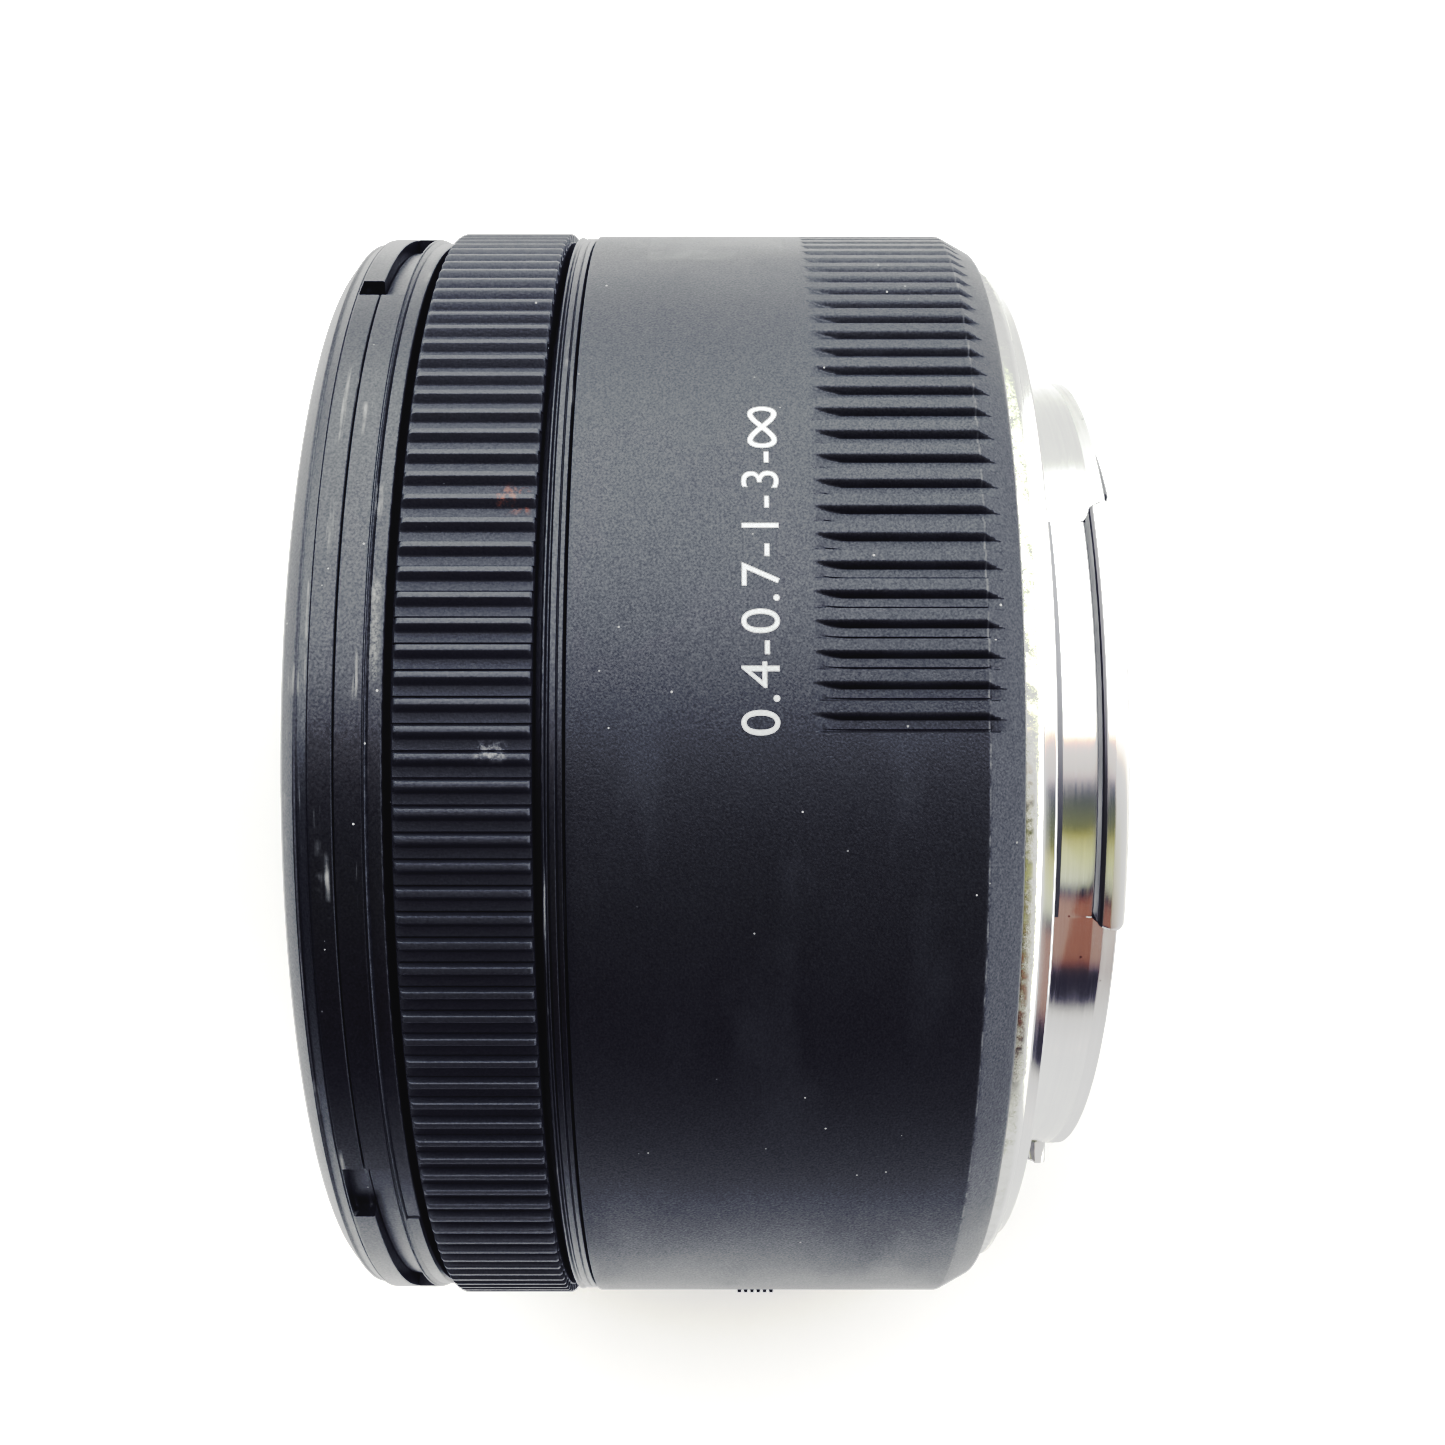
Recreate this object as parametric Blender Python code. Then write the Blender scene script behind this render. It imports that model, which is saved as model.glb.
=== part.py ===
"""Autofocus prime camera lens, built as an assembly of separate pieces.

The optical axis is the Y axis. The front of the lens looks towards -Y and the bayonet points
towards +Y. The origin is the centre of the seat of the mount flange. +Z is the side with the
distance mark and +X the side with the focus mode switch. Sizes are in millimetres and angles in
degrees, measured about the optical axis from +Z towards +X; MM turns sizes into Blender's metres.
"""

import math

import bmesh
import bpy
from mathutils import Vector

MM = 0.001

# Driving dimensions
FRONT_Y = -39.3            # front rim of the fixed barrel, measured from the mount seat
RIB_RADIUS = 34.6          # focus ring over its ribs, the widest round part
BARREL_RADIUS = 34.45
HOOD_RADIUS = 34.25        # front ring and hood bayonet ring
SLEEVE_RADIUS = 32.0       # sleeve that carries the focus ring
GUIDE_RADIUS = 30.4        # outside of the guide barrel
GUIDE_BORE = 29.0
CAM_RADIUS = 28.6          # outside of the cam ring
CAM_BORE = 27.2
INNER_RADIUS = 26.8        # outside of the moving inner barrel
INNER_BORE = 25.6
FILTER_RADIUS = 24.5       # 49 mm filter thread
MOUNT_RADIUS = 32.4        # flange of the bayonet mount
TUBE_RADIUS = 25.2
TUBE_BORE = 23.6
LUG_RADIUS = 27.0
MOUNT_DEPTH = 4.6          # seat to the rear rim of the bayonet
COVER_BORE = 15.4          # cover behind the rear glass

FOCUS_TRAVEL = 10.5        # forward travel of the inner barrel
CAM_TURN = 110.0           # turn of the cam ring over that travel
DIAPHRAGM_TURN = 40.0      # turn of the diaphragm drive ring
BLADE_TURN = 32.0          # turn of each blade over it

# Boundaries between the fixed rings, front to back
TRIM_END = -36.35
HOOD_STEP = -35.0
HOOD_END = -33.9
RIBS_START = -33.5
RIBS_END = -26.5
COLLAR_START = -26.1
COLLAR_END = -24.9
BARREL_START = -24.85
BARREL_CORNER = -3.65
BARREL_END = -1.95

# Focus mode switch
PANEL_Y = (-18.6, -7.4)
PANEL_X = (33.65, 34.3)
PANEL_HALF_HEIGHT = 5.6
SWITCH_FRONT_Y = -15.05    # middle of the knob at its front stop
SWITCH_TRAVEL = 3.6
STEM_HALF = 0.8

# Gears; a tooth's height above and below the pitch circle is a share of the module
MODULE = 0.5
TOOTH_ABOVE = 0.65
TOOTH_BELOW = 0.85
RING_TEETH = 108
IDLER_SMALL_TEETH = 12
IDLER_LARGE_TEETH = 20
MOTOR_TEETH = 10
IDLER_ANGLE = 200.0
RING_PITCH = MODULE * RING_TEETH / 2
IDLER_RADIUS = RING_PITCH - MODULE * IDLER_SMALL_TEETH / 2
MOTOR_DISTANCE = MODULE * (IDLER_LARGE_TEETH + MOTOR_TEETH) / 2
GEAR_FRONT_Y = (-15.2, -14.1)
GEAR_REAR_Y = (-13.8, -12.8)
SHAFT_END_Y = -11.8

# Diaphragm
BLADES = 7
BLADE_PIVOT_RADIUS = 18.2
BLADE_PIN_ARM = 2.4
BLADE_INNER = 12.0
BLADE_OUTER = 17.0
BLADE_THICKNESS = 0.15
BLADE_PITCH = 0.25
BLADE_START_Y = -20.75
DRIVE_Y = (-18.7, -18.0)
FINE_MODULE = 0.3
DRIVE_TEETH = 140
DRIVE_PINION_TEETH = 10
DRIVE_PITCH = FINE_MODULE * DRIVE_TEETH / 2
DRIVE_PINION_RADIUS = DRIVE_PITCH + FINE_MODULE * DRIVE_PINION_TEETH / 2
DRIVE_PINION_ANGLE = 25.0

# Faces around a turned piece
OUTER_STEPS = 56
INNER_STEPS = 42
SMALL_STEPS = 24

# Angles of features around the axis
SLOT_SPARE = 5.0
FIRST_PIN_ANGLE = 4.5 * 360.0 / INNER_STEPS - SLOT_SPARE
CAM_PIN_ANGLES = (FIRST_PIN_ANGLE, FIRST_PIN_ANGLE + 120.0, FIRST_PIN_ANGLE + 240.0)
PIN_Y = -19.5
LUG_CENTRE = -6.5
LUG_SPAN = 52.3
SCREW_ANGLES = (28.0, 118.0, 208.0, 298.0)
SCREW_CIRCLE = 29.0
LOCK_HOLE_ANGLE = 72.0
CONTACT_SPAN = (-97.0, -43.0)
CONTACTS = 8
INDEX_ANGLE = 170.0
HOOD_CHANNELS = ((-74.0, -50.0), (39.5, 74.0), (106.0, 130.0), (219.5, 254.0))
HOOD_NOTCHES = ((-53.0, -50.0), (39.5, 47.0), (127.0, 130.0), (219.5, 227.0))


# ---------------------------------------------------------------- helpers

def polar(radius, angle, y=0.0):
    """A point at a radius and an angle about the optical axis, in metres."""
    turn = math.radians(angle)
    return Vector((radius * math.sin(turn), y, radius * math.cos(turn))) * MM


def flat_polar(radius, angle):
    """The same point as a pair (x, z), in millimetres."""
    turn = math.radians(angle)
    return radius * math.sin(turn), radius * math.cos(turn)


def make_material(name, colour, roughness, metallic=0.0):
    material = bpy.data.materials.new(name)
    material.use_nodes = True
    shader = material.node_tree.nodes["Principled BSDF"]
    shader.inputs["Base Color"].default_value = (*colour, 1.0)
    shader.inputs["Roughness"].default_value = roughness
    shader.inputs["Metallic"].default_value = metallic
    return material


def add_object(name, shape, material, origin=(0.0, 0.0, 0.0)):
    """Make an object of a bmesh, with its faces pointing out and its creases sharp."""
    bmesh.ops.recalc_face_normals(shape, faces=shape.faces)
    if shape.calc_volume(signed=True) < 0.0:
        bmesh.ops.reverse_faces(shape, faces=shape.faces)
    mesh = bpy.data.meshes.new(name)
    shape.to_mesh(mesh)
    shape.free()
    mesh.shade_smooth()
    mesh.set_sharp_from_angle(angle=math.radians(30.0))
    if material:
        mesh.materials.append(material)
    item = bpy.data.objects.new(name, mesh)
    item.location = Vector(origin)
    bpy.context.collection.objects.link(item)
    return item


def lathe(profile, steps):
    """Turn a closed outline of (radius, y) points about the Y axis."""
    shape = bmesh.new()
    rings = []
    for radius, y in profile:
        count = steps if radius > 0.0 else 1
        ring = []
        for index in range(count):
            ring.append(shape.verts.new(polar(radius, 360.0 * index / steps, y)))
        rings.append(ring)
    for one, two in zip(rings, rings[1:] + rings[:1]):
        if len(one) == len(two) == 1:
            continue
        for index in range(steps):
            after = (index + 1) % steps
            corners = [one[index % len(one)], one[after % len(one)],
                       two[after % len(two)], two[index % len(two)]]
            shape.faces.new(list(dict.fromkeys(corners)))
    return shape


def prism(outline, front, back):
    """Extrude an outline of (x, z) points in millimetres along Y."""
    shape = bmesh.new()
    near = [shape.verts.new(Vector((x, front, z)) * MM) for x, z in outline]
    far = [shape.verts.new(Vector((x, back, z)) * MM) for x, z in outline]
    shape.faces.new(near)
    shape.faces.new(far)
    for index in range(len(outline)):
        after = (index + 1) % len(outline)
        shape.faces.new((near[index], near[after], far[after], far[index]))
    return shape


def block(low, high):
    """A box between two corners (x, y, z) in millimetres."""
    outline = ((low[0], low[2]), (high[0], low[2]), (high[0], high[2]), (low[0], high[2]))
    return prism(outline, low[1], high[1])


def sector(inner, outer, start, end, front, back, step=5.0):
    """A piece of a ring between two angles."""
    count = max(2, math.ceil((end - start) / step))
    angles = [start + (end - start) * index / count for index in range(count + 1)]
    outline = [flat_polar(outer, angle) for angle in angles]
    outline += [flat_polar(inner, angle) for angle in reversed(angles)]
    return prism(outline, front, back)


def rod(radius, start, end, steps=12):
    """A round bar between two points in millimetres."""
    start = Vector(start)
    end = Vector(end)
    direction = (end - start).normalized()
    turn = Vector((0.0, 0.0, 1.0)).rotation_difference(direction)
    shape = bmesh.new()
    rings = []
    for base in (start, end):
        ring = []
        for index in range(steps):
            angle = 2.0 * math.pi * index / steps
            spoke = turn @ Vector((radius * math.cos(angle), radius * math.sin(angle), 0.0))
            ring.append(shape.verts.new((base + spoke) * MM))
        rings.append(ring)
        shape.faces.new(ring)
    for index in range(steps):
        after = (index + 1) % steps
        shape.faces.new((rings[0][index], rings[0][after], rings[1][after], rings[1][index]))
    return shape


def combine(item, shape, operation):
    """Cut a shape out of an object, or join it on, with a Boolean that stays on the object."""
    tool = add_object(item.name + "_cutter", shape, None, item.location)
    tool.hide_render = True
    tool.display_type = "WIRE"
    change = item.modifiers.new("shape", "BOOLEAN")
    change.operation = operation
    change.solver = "EXACT"
    change.object = tool


def cut(item, shape):
    combine(item, shape, "DIFFERENCE")


def join(item, shape):
    combine(item, shape, "UNION")


def teeth_points(pitch_radius, module, angles, step, inward=False):
    """Teeth with straight flanks and backlash, at the given angles of their middles.

    The teeth point away from the axis, or towards it when inward.
    """
    side = -1.0 if inward else 1.0
    tip = pitch_radius + side * TOOTH_ABOVE * module
    root = pitch_radius - side * TOOTH_BELOW * module
    points = []
    for angle in angles:
        for radius, share in ((root, -0.30), (tip, -0.10), (tip, 0.10), (root, 0.30)):
            points.append(flat_polar(radius, angle + share * step))
    return points


def gear_outline(teeth, module, first_tooth):
    """A gear about its own axis; first_tooth is the angle of one tooth's middle."""
    step = 360.0 / teeth
    angles = [first_tooth + step * index for index in range(teeth)]
    return teeth_points(module * teeth / 2, module, angles, step)


def part_toothed_outline(teeth, module, first_tooth, used, plain_steps, inward=False):
    """A ring about the optical axis that has only some of its teeth, and is round elsewhere."""
    step = 360.0 / teeth
    pitch_radius = module * teeth / 2
    side = -1.0 if inward else 1.0
    root = pitch_radius - side * TOOTH_BELOW * module
    angles = [first_tooth + step * index for index in range(used)]
    outline = teeth_points(pitch_radius, module, angles, step, inward)
    last = first_tooth + step * (used - 0.5)
    rest = 360.0 - step * used
    for index in range(1, plain_steps):
        outline.append(flat_polar(root, last + rest * index / plain_steps))
    return outline


# ---------------------------------------------------------------- fixed pieces

def make_front_trim_ring(black):
    profile = [(32.8, FRONT_Y), (34.0, -38.35), (33.85, -38.2), (HOOD_RADIUS, -37.65),
               (HOOD_RADIUS, TRIM_END), (27.6, TRIM_END), (27.6, FRONT_Y)]
    ring = add_object("front_trim_ring", lathe(profile, OUTER_STEPS), black)
    for start, end in HOOD_NOTCHES:
        cut(ring, sector(33.0, 36.0, start, end, -37.6, TRIM_END + 1.0))


def make_hood_bayonet_ring(black):
    """The ring behind the trim ring: channels for a hood's lugs, and the focus ring's sleeve."""
    front = TRIM_END + 0.05
    profile = [(HOOD_RADIUS, front), (HOOD_RADIUS, HOOD_STEP), (34.0, HOOD_STEP + 0.15),
               (34.0, HOOD_END), (SLEEVE_RADIUS, HOOD_END), (SLEEVE_RADIUS, -25.2),
               (31.0, -25.2), (31.0, HOOD_END - 0.1), (27.6, HOOD_END - 0.1), (27.6, front)]
    ring = add_object("hood_bayonet_ring", lathe(profile, OUTER_STEPS), black)
    for start, end in HOOD_CHANNELS:
        cut(ring, sector(33.1, 36.0, start, end, front - 1.0, HOOD_STEP))
    window = sector(30.0, 33.0, 173.0, 187.0, -30.0, -27.0)
    cut(ring, window)


def make_front_collar(gloss):
    profile = [(34.3, COLLAR_START), (34.3, COLLAR_END), (32.35, COLLAR_END),
               (32.35, COLLAR_START)]
    add_object("front_collar", lathe(profile, OUTER_STEPS), gloss)


def make_main_barrel(black):
    bore = 33.0
    profile = [(BARREL_RADIUS, BARREL_START), (BARREL_RADIUS, BARREL_CORNER),
               (33.4, BARREL_END), (26.2, BARREL_END), (26.2, -3.3), (bore, -3.3),
               (bore, -22.4), (31.4, -22.4), (31.4, -23.5), (bore, -23.5), (bore, BARREL_START)]
    barrel = add_object("main_barrel", lathe(profile, OUTER_STEPS), black)
    gap = 0.1
    cut(barrel, block((PANEL_X[0] - 0.05, PANEL_Y[0] - gap, -PANEL_HALF_HEIGHT - gap),
                      (36.0, PANEL_Y[1] + gap, PANEL_HALF_HEIGHT + gap)))
    cut(barrel, stem_slot(0.4))
    for angle in SCREW_ANGLES:
        x, z = flat_polar(SCREW_CIRCLE, angle)
        cut(barrel, rod(1.1, (x, -4.0, z), (x, -1.0, z)))


def make_guide_barrel(grey):
    """The fixed inner frame: three straight slots keep the cam pins from turning."""
    profile = [(GUIDE_RADIUS, -33.4), (GUIDE_RADIUS, -24.8), (32.7, -24.8), (32.7, -23.6),
               (GUIDE_RADIUS, -23.6), (GUIDE_RADIUS, -16.0), (GUIDE_BORE, -16.0),
               (GUIDE_BORE, -33.4)]
    frame = add_object("guide_barrel", lathe(profile, INNER_STEPS), grey)
    half = 2.6
    for angle in CAM_PIN_ANGLES:
        slot = sector(28.0, 31.0, angle - half, angle + half,
                      PIN_Y - FOCUS_TRAVEL - 1.4, PIN_Y + 1.4)
        cut(frame, slot)


def make_mount_ring(metal):
    """Flange, tube and three lugs, turned from one piece of metal."""
    profile = [(MOUNT_RADIUS, -1.9), (32.3, -0.85), (31.3, -0.75), (31.2, 0.0),
               (TUBE_RADIUS, 0.0), (TUBE_RADIUS, 2.75), (25.35, 2.9), (25.35, MOUNT_DEPTH),
               (TUBE_BORE, MOUNT_DEPTH), (TUBE_BORE, -1.9)]
    mount = add_object("mount_ring", lathe(profile, OUTER_STEPS), metal)
    for index in range(3):
        middle = LUG_CENTRE + 120.0 * index
        lug = sector(24.4, LUG_RADIUS, middle - LUG_SPAN / 2, middle + LUG_SPAN / 2,
                     3.2, MOUNT_DEPTH - 0.05)
        join(mount, lug)
    for angle in SCREW_ANGLES:
        x, z = flat_polar(SCREW_CIRCLE, angle)
        cut(mount, rod(1.1, (x, -3.0, z), (x, 1.0, z)))
        cut(mount, rod(2.0, (x, -0.75, z), (x, 1.0, z), 12))
    x, z = flat_polar(SCREW_CIRCLE, LOCK_HOLE_ANGLE)
    cut(mount, rod(1.3, (x, -3.0, z), (x, 1.0, z), 16))


def make_mount_screws(steel):
    """Four screws with countersunk cross heads that hold the mount to the barrel."""
    profile = [(0.0, -0.08), (1.7, -0.08), (1.7, -0.35), (0.8, -0.7), (0.8, -3.2), (0.0, -3.2)]
    for index, angle in enumerate(SCREW_ANGLES):
        name = "mount_screw_" + str(index + 1)
        screw = add_object(name, lathe(profile, 12), steel, polar(SCREW_CIRCLE, angle))
        cut(screw, block((-0.9, -0.3, -0.2), (0.9, 1.0, 0.2)))
        cut(screw, block((-0.2, -0.3, -0.9), (0.2, 1.0, 0.9)))


def rounded_rectangle(half_width, half_height, corner, steps=4):
    points = []
    for index in range(4):
        side_x = 1 if index in (0, 3) else -1
        side_z = 1 if index in (0, 1) else -1
        for step in range(steps + 1):
            angle = math.radians(90.0 * (index + step / steps))
            points.append((side_x * (half_width - corner) + corner * math.cos(angle),
                           side_z * (half_height - corner) + corner * math.sin(angle)))
    return points


def make_rear_baffle(black):
    """The black plate inside the bayonet, with the window for the picture."""
    profile = [(23.2, 2.6), (23.2, 3.6), (10.0, 3.6), (10.0, 2.6)]
    baffle = add_object("rear_baffle", lathe(profile, INNER_STEPS), black)
    cut(baffle, prism(rounded_rectangle(14.0, 11.0, 4.0), 2.0, 4.2))
    cut(baffle, sector(18.5, 24.0, CONTACT_SPAN[0] - 1.0, CONTACT_SPAN[1] + 1.0, 2.0, 4.2))


def make_rear_cover(black):
    profile = [(23.2, -1.7), (23.2, -0.9), (COVER_BORE, -0.9), (COVER_BORE, -1.7)]
    cover = add_object("rear_cover", lathe(profile, INNER_STEPS), black)
    cut(cover, sector(20.6, 24.0, -80.0, -60.0, -2.5, 0.0))


def make_contacts(black, gold, amber):
    """The contact block with its row of contacts, and the flex that runs to the circuit board."""
    start, end = CONTACT_SPAN
    housing = add_object("contact_block", sector(18.9, 23.2, start, end, 0.6, 5.5), black)
    cut(housing, sector(20.3, 21.9, start + 3.0, end - 3.0, 4.9, 6.0))
    strip = sector(20.4, 21.8, start + 3.5, end - 3.5, 4.95, 5.15)
    contacts = add_object("contact_strip", strip, gold)
    step = (end - start - 14.0) / (CONTACTS - 1)
    for index in range(CONTACTS):
        x, z = flat_polar(21.1, start + 7.0 + step * index)
        join(contacts, rod(0.55, (x, 5.05, z), (x, 5.7, z), 8))
    flex = sector(21.0, 21.3, -77.0, -63.0, -4.6, 0.5)
    add_object("contact_flex", flex, amber)


def make_electronics(board_green, black, grey):
    board = add_object("circuit_board", sector(17.0, 31.5, 20.0, 340.0, -5.4, -4.7, 9.0),
                       board_green)
    cut(board, sector(20.7, 21.6, 280.0, 300.0, -6.0, -4.0))
    x, z = flat_polar(24.5, 120.0)
    add_object("controller_chip", block((x - 3, -6.5, z - 3), (x + 3, -5.45, z + 3)), black)
    add_object("focus_sensor", sector(30.7, 31.8, 175.0, 185.0, -29.5, -27.5), grey)


def stem_slot(clearance):
    """A cutter as long as the path of the knob's stem."""
    half = STEM_HALF + clearance
    return block((31.0, SWITCH_FRONT_Y - half, -half),
                 (36.0, SWITCH_FRONT_Y + SWITCH_TRAVEL + half, half))


def make_switch(black, satin):
    """A flat panel let into the side of the barrel, and the switch behind it."""
    panel = add_object("switch_panel",
                       block((PANEL_X[0], PANEL_Y[0], -PANEL_HALF_HEIGHT),
                             (PANEL_X[1], PANEL_Y[1], PANEL_HALF_HEIGHT)), satin)
    cut(panel, stem_slot(0.3))
    middle = SWITCH_FRONT_Y + SWITCH_TRAVEL / 2
    add_object("mode_switch_body", block((29.2, middle - 2.4, -3.0), (31.4, middle + 3.4, 3.0)),
               black)


def make_mode_knob(black):
    """The sliding knob, at its front stop."""
    cap = block((PANEL_X[1] + 0.15, -1.2, -2.4), (35.4, 1.2, 2.4))
    knob = add_object("mode_switch_knob", cap, black, Vector((0.0, SWITCH_FRONT_Y, 0.0)) * MM)
    join(knob, block((31.8, -STEM_HALF, -STEM_HALF), (34.8, STEM_HALF, STEM_HALF)))


def make_index_dot(red):
    """The raised dot to line up with the camera body, set in the rear slope of the barrel."""
    x, z = flat_polar(33.3, INDEX_ANGLE)
    seat = (x, -2.65, z)
    add_object("index_dot", rod(0.8, seat, (x * 1.02, -2.35, z * 1.02)), red)
    cut(bpy.data.objects["main_barrel"], rod(0.9, seat, (x * 1.04, -2.05, z * 1.04)))


# ---------------------------------------------------------------- focus ring

def make_focus_ring(rubber, foil):
    profile = [(RIB_RADIUS, RIBS_START), (RIB_RADIUS, RIBS_END), (32.75, RIBS_END),
               (32.75, RIBS_START)]
    add_object("focus_ring", lathe(profile, OUTER_STEPS), rubber)
    profile = [(32.6, -31.0), (32.6, -27.0), (32.35, -27.0), (32.35, -31.0)]
    add_object("encoder_strip", lathe(profile, INNER_STEPS), foil)


# ---------------------------------------------------------------- focus drive

def cam_slot(start_angle):
    """A helical cutter: one cam pin's path as the cam ring turns under it."""
    half = 1.35
    steps = 14
    shape = bmesh.new()
    rings = []
    for index in range(steps + 1):
        turn = -SLOT_SPARE + (CAM_TURN + 2.0 * SLOT_SPARE) * index / steps
        y = PIN_Y - FOCUS_TRAVEL * turn / CAM_TURN
        ring = []
        for radius, side in ((CAM_BORE - 1.0, -half), (CAM_RADIUS + 1.0, -half),
                             (CAM_RADIUS + 1.0, half), (CAM_BORE - 1.0, half)):
            ring.append(shape.verts.new(polar(radius, start_angle - turn, y + side)))
        rings.append(ring)
    shape.faces.new(rings[0])
    shape.faces.new(rings[-1])
    for one, two in zip(rings, rings[1:]):
        for index in range(4):
            after = (index + 1) % 4
            shape.faces.new((one[index], one[after], two[after], two[index]))
    bmesh.ops.triangulate(shape, faces=shape.faces)
    return shape


def make_cam_ring(metal):
    profile = [(CAM_RADIUS, -33.0), (CAM_RADIUS, -15.3), (CAM_BORE, -15.3), (CAM_BORE, -33.0)]
    ring = add_object("cam_ring", lathe(profile, INNER_STEPS), metal)
    for angle in CAM_PIN_ANGLES:
        cut(ring, cam_slot(angle))


def make_drive_gear_ring(plastic):
    """A ring behind the cam ring, with internal teeth over the angle that the drive uses."""
    spare = 10.0
    step = 360.0 / RING_TEETH
    first = IDLER_ANGLE + 0.5 * step - step * round((CAM_TURN + spare) / step)
    used = round((CAM_TURN + 2.0 * spare) / step)
    outline = part_toothed_outline(RING_TEETH, MODULE, first, used, SMALL_STEPS, inward=True)
    profile = [(CAM_RADIUS, -15.25), (CAM_RADIUS, -14.05), (20.0, -14.05), (20.0, -15.25)]
    ring = add_object("drive_gear_ring", lathe(profile, INNER_STEPS), plastic)
    cut(ring, prism(outline, -16.0, -13.0))


def make_idler_gear(plastic):
    """Two gears on one shaft: the small one in mesh with the ring, the large with the motor."""
    centre = polar(IDLER_RADIUS, IDLER_ANGLE)
    towards_motor = motor_direction()
    small = gear_outline(IDLER_SMALL_TEETH, MODULE, IDLER_ANGLE)
    large = gear_outline(IDLER_LARGE_TEETH, MODULE, towards_motor)
    gear = add_object("idler_gear", prism(large, *GEAR_REAR_Y), plastic, centre)
    join(gear, prism(small, GEAR_FRONT_Y[0], GEAR_REAR_Y[0] + 0.2))
    join(gear, rod(0.6, (0.0, GEAR_REAR_Y[0] + 0.2, 0.0), (0.0, SHAFT_END_Y, 0.0), 10))


def motor_angle():
    """The angle of the motor's shaft about the optical axis, on the idler's own circle."""
    return IDLER_ANGLE + 2.0 * math.degrees(math.asin(MOTOR_DISTANCE / 2 / IDLER_RADIUS))


def motor_direction():
    """The direction from the idler's shaft to the motor's, as an angle."""
    start = polar(IDLER_RADIUS, IDLER_ANGLE)
    end = polar(IDLER_RADIUS, motor_angle())
    return math.degrees(math.atan2(end.x - start.x, end.z - start.z))


def make_motor(brass, steel, plastic):
    shaft = polar(IDLER_RADIUS, motor_angle())
    teeth = gear_outline(MOTOR_TEETH, MODULE, motor_direction() + 180.0 + 180.0 / MOTOR_TEETH)
    pinion = add_object("motor_pinion", prism(teeth, *GEAR_REAR_Y), brass, shaft)
    join(pinion, rod(0.6, (0.0, GEAR_REAR_Y[0] + 0.2, 0.0), (0.0, SHAFT_END_Y, 0.0), 10))
    profile = [(0.0, -11.3), (2.0, -11.3), (2.0, -11.0), (4.4, -11.0), (4.4, -5.9), (0.0, -5.9)]
    add_object("focus_motor", lathe(profile, SMALL_STEPS), steel, shaft)
    middle = (IDLER_ANGLE + motor_angle()) / 2
    plate = sector(18.0, 31.4, middle - 22.0, middle + 22.0, -12.4, -11.6, 9.0)
    bracket = add_object("gear_bracket", plate, plastic)
    for angle in (IDLER_ANGLE, motor_angle()):
        x, z = flat_polar(IDLER_RADIUS, angle)
        cut(bracket, rod(0.95, (x, -13.0, z), (x, -11.0, z), 10))


# ---------------------------------------------------------------- moving inner barrel

def make_inner_barrel(black, steel):
    profile = [(INNER_RADIUS, -38.7), (INNER_RADIUS, -15.6), (16.2, -15.6), (16.2, -16.6),
               (INNER_BORE, -16.6), (INNER_BORE, -34.0), (FILTER_RADIUS, -34.4),
               (FILTER_RADIUS, -38.4), (24.9, -38.7)]
    barrel = add_object("inner_barrel", lathe(profile, INNER_STEPS), black)
    for index, angle in enumerate(CAM_PIN_ANGLES):
        inner = polar(24.0, angle, PIN_Y) / MM
        outer = polar(28.0, angle, PIN_Y) / MM
        cut(barrel, rod(1.25, inner, outer))
        inner = polar(25.5, angle, PIN_Y) / MM
        outer = polar(30.2, angle, PIN_Y) / MM
        add_object("cam_pin_" + str(index + 1), rod(0.95, inner, outer), steel)


def make_front_bezel(black):
    profile = [(24.2, -35.6), (24.2, -34.7), (15.4, -34.5), (15.4, -34.9), (17.5, -35.2)]
    add_object("front_bezel", lathe(profile, INNER_STEPS), black)


def surface(radius, vertex, half_width, steps):
    """Points of a spherical glass surface from its vertex out; a negative radius bows back."""
    points = []
    for index in range(steps + 1):
        height = half_width * index / steps
        sag = math.copysign(abs(radius) - math.sqrt(radius * radius - height * height), radius)
        points.append((height, vertex + sag))
    return points


def make_element(name, glass, half_width, front, rear, steps=2, around=SMALL_STEPS):
    """A glass element between two surfaces, each a pair (radius of curvature, vertex)."""
    outline = surface(front[0], front[1], half_width, steps)
    outline += reversed(surface(rear[0], rear[1], half_width, steps))
    return add_object(name, lathe(outline, around), glass)


def make_glass(glass):
    make_element("glass_1", glass, 14.6, (30.0, -35.8), (110.0, -31.4), 3, 32)
    make_element("glass_2", glass, 12.6, (18.5, -30.9), (27.0, -27.1))
    make_element("glass_3", glass, 10.8, (27.0, -26.9), (17.0, -25.6))
    make_element("glass_4", glass, 10.6, (-15.0, -14.4), (600.0, -13.1))
    make_element("glass_5", glass, 11.3, (600.0, -13.05), (-19.0, -8.0))
    make_element("glass_6", glass, 12.3, (120.0, -7.6), (-34.0, -3.6), 3, 32)


def make_cells(black, steel):
    profile = [(16.4, -34.3), (16.4, -22.7), (19.2, -22.7), (19.2, -21.75), (11.2, -21.75),
               (11.2, -23.7), (12.95, -23.7), (12.95, -30.0), (15.0, -30.0), (15.0, -34.3)]
    add_object("front_cell", lathe(profile, SMALL_STEPS), black)
    profile = [(14.9, -34.0), (14.9, -32.7), (14.1, -32.7), (14.1, -34.0)]
    add_object("front_retaining_ring", lathe(profile, SMALL_STEPS), steel)
    profile = [(15.8, -16.8), (15.8, -15.55), (19.5, -15.55), (19.5, -14.6), (14.5, -14.6),
               (14.5, -3.0), (12.7, -3.0), (12.7, -7.9), (11.7, -7.9), (11.7, -13.4),
               (11.0, -13.4), (11.0, -16.8)]
    add_object("rear_cell", lathe(profile, SMALL_STEPS), black)
    profile = [(12.55, -5.2), (12.55, -4.2), (11.6, -4.2), (11.6, -5.2)]
    add_object("rear_retaining_ring", lathe(profile, SMALL_STEPS), steel)


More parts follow.
